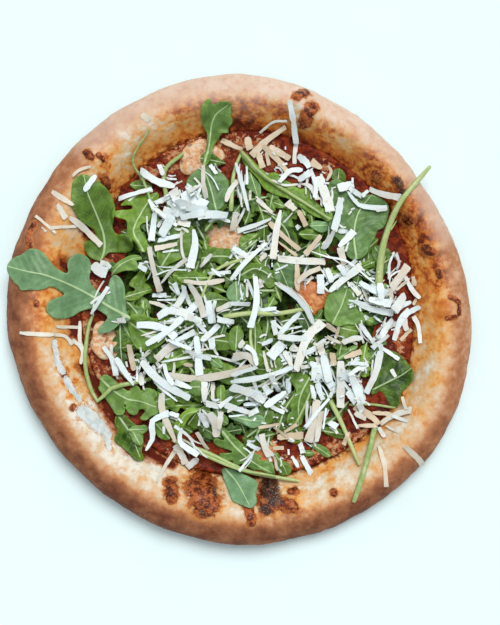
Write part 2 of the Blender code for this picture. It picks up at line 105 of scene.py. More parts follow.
# %% Sizes of the rim, the sauce and the heap
MM = 0.001
OUTER_RADII = (143.5, 138, 141.5, 147, 146, 144.5, 145.5, 142.5, 142.5, 146.5, 147, 148.5)
INNER_RADII = (107, 110, 110, 110.5, 107, 100, 98, 98, 101, 103, 107, 111)
RIM_HEIGHTS = (21, 20, 22, 23.5, 22, 24, 23, 24.5, 23, 22, 21, 22.5)
CORE_RADII = (88, 90, 80, 72, 76, 82, 78, 78, 84, 82, 82, 86)
BASE_THICKNESS = 4
CREST_SHARE = 0.42
BELLY_SHARE = 0.36
UNDERCUT_SHARE = 0.17
INNER_PUFF = 0.75
RIM_WAVE = 0.45
LOWEST_RELIEF = 0.4
SAUCE_INSET = 1.2
SAUCE_LEVEL = 5.5
PILE_FLOOR = 6.05
POOLS = (
    (-25, 95, 11.5, 2.2),
    (-10, 43, 12, 2.4),
    (44, 8, 10.5, 2.2),
    (-84, -21, 10, 2.0),
    (14, -92, 9.5, 1.8),
)


def around_the_clock(values, angle):
    """The value at each angle, on a smooth closed curve through evenly spaced values."""
    values = np.array(values, float)
    place = (np.asarray(angle, float) / math.tau) % 1 * len(values)
    i = place.astype(int)
    t = place - i
    a, b, c, d = (values[(i + k) % len(values)] for k in (-1, 0, 1, 2))
    return (
        b * (1 + 2 * t) * (1 - t) ** 2 + (c - a) / 2 * t * (1 - t) ** 2
        + c * t * t * (3 - 2 * t) - (d - b) / 2 * t * t * (1 - t)
    )


def layout_shift():
    """How far the solids were moved from the tables' origin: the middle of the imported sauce
    less the middle of the sauce's outline in the tables."""
    angles = np.linspace(0, math.tau, 60, endpoint=False)
    reach = around_the_clock(INNER_RADII, angles) - SAUCE_INSET
    outline = np.column_stack((reach * np.cos(angles), reach * np.sin(angles)))
    low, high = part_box("tomato_sauce")
    packed = np.array((low + high) / 2)[:2] / MM
    return packed - (outline.min(0) + outline.max(0)) / 2


SHIFT = layout_shift()
print("the tables' origin is moved by, mm:", SHIFT.round(2))

# %% [markdown]
# ## Small tools
#
# A mesh in Blender is a list of points and a list of faces. Most pieces here are worked out
# with NumPy as grids of points, so one helper turns such a grid into faces and another turns
# points and faces into an object. The object stays at the origin and its place is in its
# points, so that a pattern on Object coordinates never slides.

# %% From grids of points to objects
def new_piece(name, points, faces, material=None):
    """A smooth mesh object from points in the tables' millimetres."""
    points = np.array(points, float)
    points[:, :2] += SHIFT
    mesh = bpy.data.meshes.new(name)
    mesh.from_pydata((points * MM).tolist(), [], faces)
    piece = bpy.data.objects.new(name, mesh)
    bpy.context.scene.collection.objects.link(piece)
    if material:
        mesh.materials.append(material)
    mesh.shade_smooth()
    return piece


def grid_faces(rows, across, closed=False, start=0):
    """Quads over a grid of points; closed joins the last point of each row to the first."""
    faces = []
    for i in range(rows - 1):
        for j in range(across if closed else across - 1):
            a, b = i * across + j, i * across + (j + 1) % across
            faces.append((start + a, start + b, start + b + across, start + a + across))
    return faces


def keep_values(mesh, **values):
    """Stores one number for each point of a mesh under each name, for materials to read."""
    for name, numbers in values.items():
        attribute = mesh.attributes.new(name, "FLOAT", "POINT")
        attribute.data.foreach_set("value", np.asarray(numbers, np.float32).ravel())


def smooth_step(low, high, value):
    t = np.clip((np.asarray(value, float) - low) / (high - low), 0, 1)
    return t * t * (3 - 2 * t)


def along(points, count):
    """Evenly spaced places on a smooth flat curve through the points, the heading at each,
    and the curve's length."""
    points = np.array(points, float)
    padded = np.vstack((2 * points[0] - points[1], points, 2 * points[-1] - points[-2]))
    fine = []
    t = np.linspace(0, 1, 16, endpoint=False)[:, None]
    for a, b, c, d in zip(padded, padded[1:], padded[2:], padded[3:]):
        fine.append(0.5 * (
            2 * b + (c - a) * t + (2 * a - 5 * b + 4 * c - d) * t ** 2
            + (3 * b - a - 3 * c + d) * t ** 3
        ))
    fine = np.vstack((*fine, points[-1:]))
    lengths = np.concatenate(([0], np.cumsum(np.hypot(*np.diff(fine, axis=0).T))))
    reach = np.linspace(0, lengths[-1], count)
    places = np.column_stack([np.interp(reach, lengths, fine[:, k]) for k in (0, 1)])
    headings = np.gradient(places, axis=0)
    headings /= np.hypot(*headings.T)[:, None]
    return places, headings, lengths[-1]


# %% [markdown]
# ## Shader tools
#
# Every finish is a node tree. Two effects come back in most of them, so each is built once as
# a node group: `mottle`, soft blotches of a chosen size, and `skin_relief`, the fine bumps of
# a surface in two sizes. Both read Object coordinates, which are true lengths, so a size put
# in is the size that shows. The Principled BSDF itself stays in each material.

# %% Helpers for node trees
def paint(red, green, blue):
    """A screen colour, 0 to 255, as the linear colour that nodes use."""
    linear = [
        c / 12.92 if c <= 0.04045 else ((c + 0.055) / 1.055) ** 2.4
        for c in (red / 255, green / 255, blue / 255)
    ]
    return (*linear, 1.0)


def add(tree, kind, inputs=None, **settings):
    """A node with its settings made and its inputs set to numbers or linked to sockets."""
    node = tree.nodes.new(kind)
    for name, value in settings.items():
        setattr(node, name, value)
    for name, value in (inputs or {}).items():
        if isinstance(value, bpy.types.NodeSocket):
            tree.links.new(value, node.inputs[name])
        else:
            node.inputs[name].default_value = value
    return node


def calc(tree, operation, a, b=0.0):
    return add(tree, "ShaderNodeMath", {0: a, 1: b}, operation=operation).outputs[0]


def fade(tree, value, low, high, start=0.0, end=1.0):
    """A smooth change from start to end as the value goes from low to high."""
    numbers = {0: value, 1: low, 2: high, 3: start, 4: end}
    node = add(tree, "ShaderNodeMapRange", numbers, interpolation_type="SMOOTHSTEP")
    return node.outputs[0]


def blend(tree, share, first, second):
    """Between two colours, each a colour or a socket."""
    numbers = {0: share, 6: first, 7: second}
    return add(tree, "ShaderNodeMix", numbers, data_type="RGBA").outputs[2]


def stored(tree, name):
    return add(tree, "ShaderNodeAttribute", attribute_name=name).outputs["Fac"]


def new_group(name, sockets, kind="ShaderNodeTree"):
    """An empty node group with its inputs and outputs: name, direction, type, first value."""
    tree = bpy.data.node_groups.new(name, kind)
    for title, direction, kind_of, value in sockets:
        socket = tree.interface.new_socket(title, in_out=direction, socket_type=kind_of)
        if value is not None:
            socket.default_value = value
    return tree, tree.nodes.new("NodeGroupInput").outputs, tree.nodes.new("NodeGroupOutput")


# %% [markdown]
# ### The two shared effects
#
# `mottle` fades one noise between two limits, and its offset moves the pattern, so that two
# uses never match. `skin_relief` adds a coarse noise and a fine one and bumps the surface by
# their sum.

# %% Mottle and skin relief
def make_mottle():
    tree, ins, out = new_group("mottle", (
        ("Size", "INPUT", "NodeSocketFloat", 0.004),
        ("Low", "INPUT", "NodeSocketFloat", 0.4),
        ("High", "INPUT", "NodeSocketFloat", 0.6),
        ("Offset", "INPUT", "NodeSocketFloat", 0.0),
        ("Mask", "OUTPUT", "NodeSocketFloat", None),
    ))
    place = add(tree, "ShaderNodeTexCoord").outputs["Object"]
    moved = add(tree, "ShaderNodeVectorMath", {0: place, 1: ins["Offset"]}).outputs[0]
    scale = calc(tree, "DIVIDE", 1.0, ins["Size"])
    numbers = {"Vector": moved, "Scale": scale, "Detail": 3.0, "Roughness": 0.6}
    noise = add(tree, "ShaderNodeTexNoise", numbers).outputs[0]
    tree.links.new(fade(tree, noise, ins["Low"], ins["High"]), out.inputs[0])
    return tree


def make_skin_relief():
    tree, ins, out = new_group("skin_relief", (
        ("Size", "INPUT", "NodeSocketFloat", 0.003),
        ("Depth", "INPUT", "NodeSocketFloat", 0.0003),
        ("Fine size", "INPUT", "NodeSocketFloat", 0.0008),
        ("Fine depth", "INPUT", "NodeSocketFloat", 0.0001),
        ("Normal", "OUTPUT", "NodeSocketVector", None),
    ))
    place = add(tree, "ShaderNodeTexCoord").outputs["Object"]
    heights = []
    for size, depth in (("Size", "Depth"), ("Fine size", "Fine depth")):
        scale = calc(tree, "DIVIDE", 1.0, ins[size])
        numbers = {"Vector": place, "Scale": scale, "Detail": 2.0}
        noise = add(tree, "ShaderNodeTexNoise", numbers).outputs[0]
        heights.append(calc(tree, "MULTIPLY", noise, ins[depth]))
    total = calc(tree, "ADD", *heights)
    bump = add(tree, "ShaderNodeBump", {"Height": total, "Distance": 1.0})
    tree.links.new(bump.outputs[0], out.inputs[0])
    return tree


MOTTLE = make_mottle()
SKIN_RELIEF = make_skin_relief()


def mottled(tree, size_mm, low=0.4, high=0.6, offset=0.0):
    node = tree.nodes.new("ShaderNodeGroup")
    node.node_tree = MOTTLE
    for name, value in (("Size", size_mm * MM), ("Low", low), ("High", high),
                        ("Offset", offset)):
        node.inputs[name].default_value = value
    return node.outputs[0]


def relief(tree, *sizes_mm):
    node = tree.nodes.new("ShaderNodeGroup")
    node.node_tree = SKIN_RELIEF
    for socket, value in zip(node.inputs, sizes_mm):
        socket.default_value = value * MM
    return node.outputs[0]


def new_finish(name, roughness=0.6, specular=0.5):
    """A material, its tree and its Principled BSDF."""
    material = bpy.data.materials.new(name)
    material.use_nodes = True
    tree = material.node_tree
    shader = tree.nodes["Principled BSDF"]
    shader.inputs["Roughness"].default_value = roughness
    shader.inputs["Specular IOR Level"].default_value = specular
    return material, tree, shader


print("shader groups:", [g.name for g in bpy.data.node_groups])

# %% [markdown]
# ## Geometry Nodes tools
#
# Geometry Nodes make what follows a rule or repeats. Three kinds of tree serve the whole
# pizza: `swollen_skin` pushes a surface in and out by noise in two sizes, as dough and sauce
# swell; `swept_strip` and `swept_stem` draw a flat or a round section along every path of a
# mesh of edges; and `scattered_flakes` drops small crumbs on a surface. A tree's inputs are
# set by their identifiers. The result is then kept as a plain mesh, without the modifier.

# %% Using a tree on a piece
def grow(piece, tree, **values):
    """Runs a tree on a piece and keeps the result as its mesh. Values go by input name, with
    _ for a space."""
    modifier = piece.modifiers.new(tree.name, "NODES")
    modifier.node_group = tree
    for item in tree.interface.items_tree:
        name = item.name.replace(" ", "_")
        if item.in_out == "INPUT" and name in values:
            modifier[item.identifier] = values[name]
    graph = bpy.context.evaluated_depsgraph_get()
    mesh = bpy.data.meshes.new_from_object(piece.evaluated_get(graph))
    piece.modifiers.remove(modifier)
    piece.data = mesh
    mesh.name = piece.name
    return piece


def field(tree, name):
    numbers = {"Name": name}
    kind = "GeometryNodeInputNamedAttribute"
    return add(tree, kind, numbers, data_type="FLOAT").outputs[0]


def close_tree(tree, geometry, material, out):
    """Ends a tree in Realize Instances and Set Material."""
    real = add(tree, "GeometryNodeRealizeInstances", {0: geometry}).outputs[0]
    dressed = add(tree, "GeometryNodeSetMaterial", {"Geometry": real, "Material": material})
    tree.links.new(dressed.outputs[0], out.inputs[0])


GEOMETRY_ENDS = (
    ("Geometry", "INPUT", "NodeSocketGeometry", None),
    ("Material", "INPUT", "NodeSocketMaterial", None),
    ("Geometry", "OUTPUT", "NodeSocketGeometry", None),
)


def sized_noise(tree, size, seed):
    """A noise node that takes its size and its seed from two sockets."""
    numbers = {"Scale": calc(tree, "DIVIDE", 1.0, size), "W": seed, "Detail": 2.0}
    return add(tree, "ShaderNodeTexNoise", numbers, noise_dimensions="4D")


# %% [markdown]
# ### The trees
#
# Each tree takes its sizes as inputs, so that one tree serves several pieces. What differs
# from point to point, such as how free the skin is to move or how wide a strip is, is stored
# on the mesh and read by name.

# %% Skin, sweeps and flakes
def make_swollen_skin():
    tree, ins, out = new_group("swollen_skin", (*GEOMETRY_ENDS,
        ("Swell size", "INPUT", "NodeSocketFloat", 0.02),
        ("Swell height", "INPUT", "NodeSocketFloat", 0.001),
        ("Pimple size", "INPUT", "NodeSocketFloat", 0.004),
        ("Pimple height", "INPUT", "NodeSocketFloat", 0.0003),
        ("Seed", "INPUT", "NodeSocketFloat", 1.0),
    ), "GeometryNodeTree")
    lifts = []
    for size, height in (("Swell size", "Swell height"), ("Pimple size", "Pimple height")):
        noise = sized_noise(tree, ins[size], ins["Seed"]).outputs[0]
        centred = calc(tree, "SUBTRACT", noise, 0.5)
        lifts.append(calc(tree, "MULTIPLY", centred, ins[height]))
    total = calc(tree, "MULTIPLY", calc(tree, "ADD", *lifts), field(tree, "free"))
    normal = add(tree, "GeometryNodeInputNormal").outputs[0]
    numbers = {0: normal, "Scale": total}
    push = add(tree, "ShaderNodeVectorMath", numbers, operation="SCALE").outputs[0]
    numbers = {"Geometry": ins["Geometry"], "Offset": push}
    moved = add(tree, "GeometryNodeSetPosition", numbers).outputs[0]
    close_tree(tree, moved, ins["Material"], out)
    return tree


def make_sweep(name, flat):
    """Draws a section along each path: a flat strip, or a round stem. The paths' points carry
    wide, the width in metres, and lean, how far the section leans over."""
    tree, ins, out = new_group(name, (*GEOMETRY_ENDS,
        ("Thickness share", "INPUT", "NodeSocketFloat", 0.2),
        ("Ragged size", "INPUT", "NodeSocketFloat", 0.003),
        ("Ragged depth", "INPUT", "NodeSocketFloat", 0.0003),
        ("Seed", "INPUT", "NodeSocketFloat", 1.0),
    ), "GeometryNodeTree")
    curve = add(tree, "GeometryNodeMeshToCurve", {0: ins["Geometry"]}).outputs[0]
    curve = add(tree, "GeometryNodeSetCurveNormal", {"Curve": curve}, mode="Z_UP").outputs[0]
    numbers = {"Curve": curve, "Tilt": field(tree, "lean")}
    curve = add(tree, "GeometryNodeSetCurveTilt", numbers).outputs[0]
    if flat:
        numbers = {"Width": 1.0, "Height": ins["Thickness share"]}
        section = add(tree, "GeometryNodeCurvePrimitiveQuadrilateral", numbers).outputs[0]
    else:
        numbers = {"Resolution": 8, "Radius": 0.5}
        section = add(tree, "GeometryNodeCurvePrimitiveCircle", numbers).outputs[0]
    numbers = {"Curve": curve, "Profile Curve": section, "Scale": field(tree, "wide"),
               "Fill Caps": True}
    swept = add(tree, "GeometryNodeCurveToMesh", numbers).outputs[0]
    noise = sized_noise(tree, ins["Ragged size"], ins["Seed"]).outputs[1]
    half = (0.5, 0.5, 0.5)
    centred = add(tree, "ShaderNodeVectorMath", {0: noise, 1: half}, operation="SUBTRACT")
    numbers = {0: centred.outputs[0], "Scale": ins["Ragged depth"]}
    push = add(tree, "ShaderNodeVectorMath", numbers, operation="SCALE").outputs[0]
    moved = add(tree, "GeometryNodeSetPosition", {"Geometry": swept, "Offset": push}).outputs[0]
    close_tree(tree, moved, ins["Material"], out)
    return tree


def make_scattered_flakes():
    tree, ins, out = new_group("scattered_flakes", (*GEOMETRY_ENDS,
        ("Number per square metre", "INPUT", "NodeSocketFloat", 10000.0),
        ("Flake size", "INPUT", "NodeSocketFloat", 0.002),
        ("Seed", "INPUT", "NodeSocketInt", 1),
    ), "GeometryNodeTree")
    crowd = calc(tree, "MULTIPLY", field(tree, "crowd"), ins["Number per square metre"])
    numbers = {"Mesh": ins["Geometry"], "Density": crowd, "Seed": ins["Seed"]}
    points = add(tree, "GeometryNodeDistributePointsOnFaces", numbers)
    box = add(tree, "ShaderNodeCombineXYZ", {0: 1.0, 1: 0.36, 2: 0.12}).outputs[0]
    sized = add(tree, "ShaderNodeVectorMath", {0: box, "Scale": ins["Flake size"]},
                operation="SCALE").outputs[0]
    flake = add(tree, "GeometryNodeMeshCube", {"Size": sized}).outputs[0]
    turn = add(tree, "FunctionNodeRandomValue", {0: (-0.5, -0.5, 0.0), 1: (0.5, 0.5, 6.28),
               "Seed": ins["Seed"]}, data_type="FLOAT_VECTOR").outputs[0]
    grown = add(tree, "FunctionNodeRandomValue", {2: 0.5, 3: 1.5, "Seed": ins["Seed"]},
                data_type="FLOAT").outputs[1]
    numbers = {"Points": points.outputs[0], "Instance": flake, "Rotation": turn,
               "Scale": grown}
    flakes = add(tree, "GeometryNodeInstanceOnPoints", numbers).outputs[0]
    close_tree(tree, flakes, ins["Material"], out)
    return tree


SWOLLEN_SKIN = make_swollen_skin()
SWEPT_STRIP = make_sweep("swept_strip", flat=True)
SWEPT_STEM = make_sweep("swept_stem", flat=False)
SCATTERED_FLAKES = make_scattered_flakes()

# %% [markdown]
# ## The rim and the base
#
# The rim puffed up in a very hot oven, so it is a fat ring with soft blisters. Its section
# follows a rule: a quarter of an ellipse outside, tucked in at the foot, and a softer fall
# inside. It could be sculpted, but a rule keeps it on the solid. A grid of 900 by 88 points
# follows that section round the clock, blisters are added along the outward direction, and
# `swollen_skin` then gives the skin its uneven swelling and fine pimples.

# %% Blisters and marks of the fire
BLISTERS = (
    (-41, -112, 8, 2.6), (-23, -114, 13, 3.6), (19, -116, 11, 3.2), (31, -121, 10, 2.0),
    (6, -129, 7, 1.4), (57, -112, 5, 1.2), (37, 128, 8, 2.2), (42, 118, 11, 2.6),
    (7, 124, 14, 1.8), (-35, 122, 12, 1.6), (-89, 92, 11, 2.0), (-129, 43, 8, 1.4),
    (100, 77, 8, 1.6), (107, 59, 11, 1.8), (118, 38, 10, 1.8), (129, -1, 9, 1.5),
)
# Each mark runs from one place to another with a half width: x, y, x, y, half width.
MARKS = {
    "golden": (
        (-36, -104, -38, -110, 3), (-30, -104, -14, -122, 4), (33, -108, 36, -124, 5),
        (26, -122, 30, -128, 5), (42, -104, 56, -97, 2.2), (56, -97, 70, -90, 2.2),
        (70, -90, 84, -76, 2.6), (56, -104, 57, -112, 2),
        (-120, 33, -112, 29, 4), (-128, 10, -118, 5, 5), (-125, -4, -121, -12, 4),
        (-84, 100, -72, 78, 8), (-60, 100, -40, 112, 7), (-44, 119, -10, 122, 7),
        (-6, 121, 26, 119, 8), (40, 108, 62, 106, 7), (62, 104, 82, 88, 8),
        (84, 86, 98, 68, 8), (100, 66, 112, 44, 9), (112, 42, 121, 20, 9),
        (117, 18, 124, -2, 8), (118, -6, 120, -18, 6), (-101, -36, -96, -52, 4),
        (-90, -66, -78, -82, 3),
    ),
    "freckled": (
        (-96, 94, -86, 88, 8), (-85, 82, -84, 74, 6), (-45, 119, -32, 123, 5),
        (-22, 129, -12, 128, 5), (-6, 122, 4, 117, 8), (4, 128, 19, 127, 7),
        (25, 122, 27, 118, 4), (52, 111, 59, 109, 4), (80, 90, 88, 80, 5.5),
        (96, 77, 100, 72, 6), (103, 62, 110, 52, 9), (110, 44, 121, 33, 9),
        (122, 24, 123, 17, 5), (127, 35, 128, 33, 3), (-130, 2, -124, 2, 4),
        (-140, 18, -134, -14, 7), (-108, -40, -100, -60, 4), (-110, 27, -105, 20, 4),
        (24, -124, 32, -124, 5),
    ),
    "brown": (
        (-43, -108, -42, -116, 3.6), (-25, -110, -21, -120, 8), (17, -112, 16, -121, 5.5),
        (25, -121, 32, -122, 3.4), (31, -114, 34, -113, 2), (5, -122, 7, -131, 2.6),
        (57, -113, 57, -114, 2),
        (34, -112, 35, -113, 1.1), (-109, -40, -108, -42, 1.8),
        (-102, -61, -102, -62, 1.8), (-127, 51, -130, 44, 1.8), (-130, 44, -129, 37, 1.9),
        (35, 130, 40, 133, 3), (40, 116, 44, 123, 3.6),
        (-95, 95, -92, 92, 2.4), (-87, 93, -85, 91, 1.6), (-85, 80, -84, 76, 2.6),
        (104, 56, 106, 54, 2.4), (115, 37, 118, 34, 2.4), (84, 84, 86, 82, 2),
        (129, 6, 133, 4, 1.5), (134, 3, 134, -4, 1.5), (132, -6, 127, -7, 1.4),
        (122, 22, 123, 19, 1.8), (-125, 3, -125, 1, 1.4), (-107, 25, -106, 21, 2),
    ),
    "charred": (
        (18, -108, 20, -117, 4.4), (15, -124, 16, -125, 2), (97, 79, 99, 75, 1.8),
        (100, 72, 101, 70, 1.6), (-17, -114, -16, -116, 0.9), (-24, -124, -22, -126, 1),
        (36, 131, 38, 132, 0.8),
    ),
    # Torn pale patches; their bluish white is partly painted reflection of the window light.
    "torn": (
        (-114, -21, -112, -33, 1.2), (-112, -33, -109, -40, 1.5), (-107, -44, -103, -51, 1.5),
        (-103, -51, -98, -57, 1), (-96, -64, -91, -68, 3.6), (-90, -70, -85, -74, 3.2),
        (-84, -74, -81, -79, 2), (-81, -80, -80, -86, 1.4),
    ),
    # Sauce-stained bands by the inner foot; their dark end is partly painted shade by the rim and
    # leaves.
    "saucy": (
        (-98, -36, -91, -46, 3), (-91, -46, -84, -60, 3.5), (-84, -60, -75, -73, 3.5),
        (-75, -73, -67, -86, 3.5), (-67, -86, -54, -92, 3), (-54, -92, -42, -97, 2.4),
        (-108, 26, -101, 16, 4), (-96, 50, -92, 40, 3), (-104, -2, -103, -16, 3),
    ),
    # Floury marks on the top outer side: partly flour, partly painted light where it faces the
    # lamp.
    "floury": (
        (-96, 110, -60, 130, 12), (-50, 136, 40, 140, 12),
        (50, 134, 100, 104, 12), (104, 98, 130, 50, 9), (-60, 117, -57, 115, 3),
    ),
}
# How far the dough has baked on its outer side, crest and inner side, from 0, pale, to 1.
# The values also hold painted light on the sides that face the lamp and painted shade on the
# sides turned away from it.
OUTER_BAKE_AND_SHADING = (0.50, 0.48, 0.22, 0.26, 0.44, 0.74, 0.86, 0.84, 0.94, 0.86, 0.90, 0.68)
CREST_BAKE_AND_SHADING = (0.40, 0.44, 0.22, 0.26, 0.20, 0.28, 0.38, 0.06, 0.16, 0.26, 0.20, 0.26)
INNER_BAKE_AND_SHADING = (0.26, 0.30, 0.34, 0.40, 0.20, 0.26, 0.46, 0.10, 0.04, 0.08, 0.10, 0.16)


def mark_strength(marks, x, y):
    """1 in the middle of a mark, 0.5 at its edge, and 0 at twice its half width."""
    strength = np.zeros_like(x)
    for x1, y1, x2, y2, half in marks:
        run = np.array((x2 - x1, y2 - y1), float)
        t = ((x - x1) * run[0] + (y - y1) * run[1]) / max(run @ run, 1e-6)
        t = np.clip(t, 0, 1)
        away = np.hypot(x - x1 - t * run[0], y - y1 - t * run[1])
        strength = np.maximum(strength, np.clip(1 - away / (2 * half), 0, 1))
    return strength


# %% [markdown]
# ### The points of the rim
#
# The rings run from the foot outside, over the crest, to the foot inside, each a circle bent
# by the tables. Blisters and marks move a point away from the middle of the dough. What the
# finish needs is stored on every point: how far it has baked, with painted light and shade
# mixed in, how near it is to the foot, and how strong each mark is there.

# %% Rings, blisters and stored values
RIM_SEGMENTS = 900
UNDER_RINGS, OUTER_RINGS, INNER_RINGS = 10, 34, 44


def rim_section(angle):
    """Radius and height of the rim's skin at each angle, ring by ring from the foot outside to
    the foot inside, with the middle that its blisters point away from."""
    outer = around_the_clock(OUTER_RADII, angle)
    inner = around_the_clock(INNER_RADII, angle)
    height = around_the_clock(RIM_HEIGHTS, angle)
    width = outer - inner
    belly = BELLY_SHARE * height
    crest = outer - CREST_SHARE * width
    rings = []
    for turn in np.linspace(math.pi / 2, 0, UNDER_RINGS, endpoint=False):
        tuck = UNDERCUT_SHARE * width * (1 - math.cos(turn))
        rings.append((outer - tuck, belly * (1 - math.sin(turn))))
    for turn in np.linspace(0, math.pi / 2, OUTER_RINGS, endpoint=False):
        radius = crest + CREST_SHARE * width * math.cos(turn)
        rings.append((radius, belly + (height - belly) * math.sin(turn)))
    for share in np.linspace(0, 1, INNER_RINGS):
        fall = ((1 + math.cos(math.pi * share)) / 2) ** INNER_PUFF
        radius = crest - (crest - inner) * share
        rings.append((radius, BASE_THICKNESS + (height - BASE_THICKNESS) * fall))
    rings = np.array(rings)
    return rings[:, 0], rings[:, 1], outer, inner, crest, belly


def blister_height(x, y):
    """How far a long wave and the blisters push the skin out at each place."""
    rise = RIM_WAVE * np.sin(x * 0.11 + 1.3) * np.sin(y * 0.13 + 0.4)
    for bx, by, radius, height in BLISTERS:
        away = np.clip(np.hypot(x - bx, y - by) / radius, 0, 1)
        rise = rise + height * (0.5 + 0.5 * np.cos(math.pi * away))
    return rise


def make_crust(material):
    angle = np.linspace(0, math.tau, RIM_SEGMENTS, endpoint=False)
    radius, z, outer, inner, crest, belly = rim_section(angle)
    cos, sin = np.cos(angle), np.sin(angle)
    x, y = radius * cos, radius * sin
    marks = {name: mark_strength(rows, x, y) for name, rows in MARKS.items()}
    above = smooth_step(1.5, 6, z) * smooth_step(BASE_THICKNESS - 1, BASE_THICKNESS + 4, z)
    raised = 0.7 * smooth_step(0.42, 0.6, np.maximum(marks["brown"], marks["charred"]))
    raised -= 0.5 * smooth_step(0.4, 0.6, marks["torn"])
    lift = blister_height(x, y) + raised * above
    lift[0] = lift[-1] = 0
    out_r, out_z = radius - crest, z - belly
    size = np.hypot(out_r, out_z)
    radius = radius + out_r / size * lift
    lowest = np.where(np.arange(len(z)) > 0, LOWEST_RELIEF, 0)[:, None]
    z = np.maximum(z + out_z / size * lift, lowest)
    z[0] = 0
    outside = smooth_step(-0.15, 0.62, (radius - crest) / (outer - crest))
    inside = smooth_step(0.05, 0.8, (crest - radius) / (crest - inner))
    # The three tables mix the bake with painted light and painted shade by side.
    tones = [around_the_clock(v, angle) for v in (OUTER_BAKE_AND_SHADING, CREST_BAKE_AND_SHADING, INNER_BAKE_AND_SHADING)]
    bake = tones[1] + (tones[0] - tones[1]) * outside + (tones[2] - tones[1]) * inside
    foot = (crest - radius) / (crest - inner)
    floor_shares = (0.96, 0.75, 0.4)
    rings = [(share * inner, np.full_like(inner, BASE_THICKNESS)) for share in floor_shares]
    under = [(share * radius[0], np.zeros_like(inner)) for share in (0.4, 0.75, 0.96)]
    all_r = np.vstack([r for r, _ in under] + [radius] + [r for r, _ in rings])
    all_z = np.vstack([h for _, h in under] + [z] + [h for _, h in rings])
    points = np.column_stack([v.ravel() for v in (all_r * cos, all_r * sin, all_z)])
    rows = len(all_r)
    faces = grid_faces(rows, RIM_SEGMENTS, closed=True)
    middle = len(points)
    points = np.vstack((points, (0, 0, 0), (0, 0, BASE_THICKNESS)))
    top = (rows - 1) * RIM_SEGMENTS
    for i in range(RIM_SEGMENTS):
        after = (i + 1) % RIM_SEGMENTS
        faces.append((after, i, middle))
        faces.append((top + i, top + after, middle + 1))
    piece = new_piece("crust_skin", points, faces, material)

    def padded(values, fill):
        """The rim's values with one fill value on the flat rings and the two middles."""
        flat = np.full((3, RIM_SEGMENTS), float(fill))
        return np.concatenate((np.vstack((flat, values, flat)).ravel(), (fill, fill)))

    keep_values(
        piece.data, bake=padded(bake, 0.55), foot=padded(np.clip(foot, 0, 1), 0),
        inward=padded(smooth_step(-0.35, 0.25, (crest - radius) / (crest - inner)), 0),
        low=padded(smooth_step(9, 1, z) * (foot < 0), 1), free=padded(above, 0),
        **{name: padded(strength, 0) for name, strength in marks.items()},
    )
    return grow(
        piece, SWOLLEN_SKIN, Swell_size=0.016, Swell_height=0.0022, Pimple_size=0.0028,
        Pimple_height=0.0009, Seed=3.0, Material=material,
    )


# %% [markdown]
# ### The finish of the dough
#
# Dough goes from cream through peach and gold to brown as it bakes, and where a blister met
# the flame it chars. A ramp turns the stored bake value, which also holds painted light and
# shade by side, into those colours. The marks are stored as soft fields, and noise is added
# before each is cut to an edge, so that a crisp, uneven edge shows that is finer than the mesh.

# %% Baked dough
def colour_ramp(tree, value, *stops):
    """A ramp through colours at places from 0 to 1."""
    ramp = tree.nodes.new("ShaderNodeValToRGB")
    elements = ramp.color_ramp.elements
    for i, (place, colour) in enumerate(stops):
        element = elements[i] if i < 2 else elements.new(1.0)
        element.position, element.color = place, paint(*colour)
    tree.links.new(value, ramp.inputs[0])
    return ramp.outputs[0]


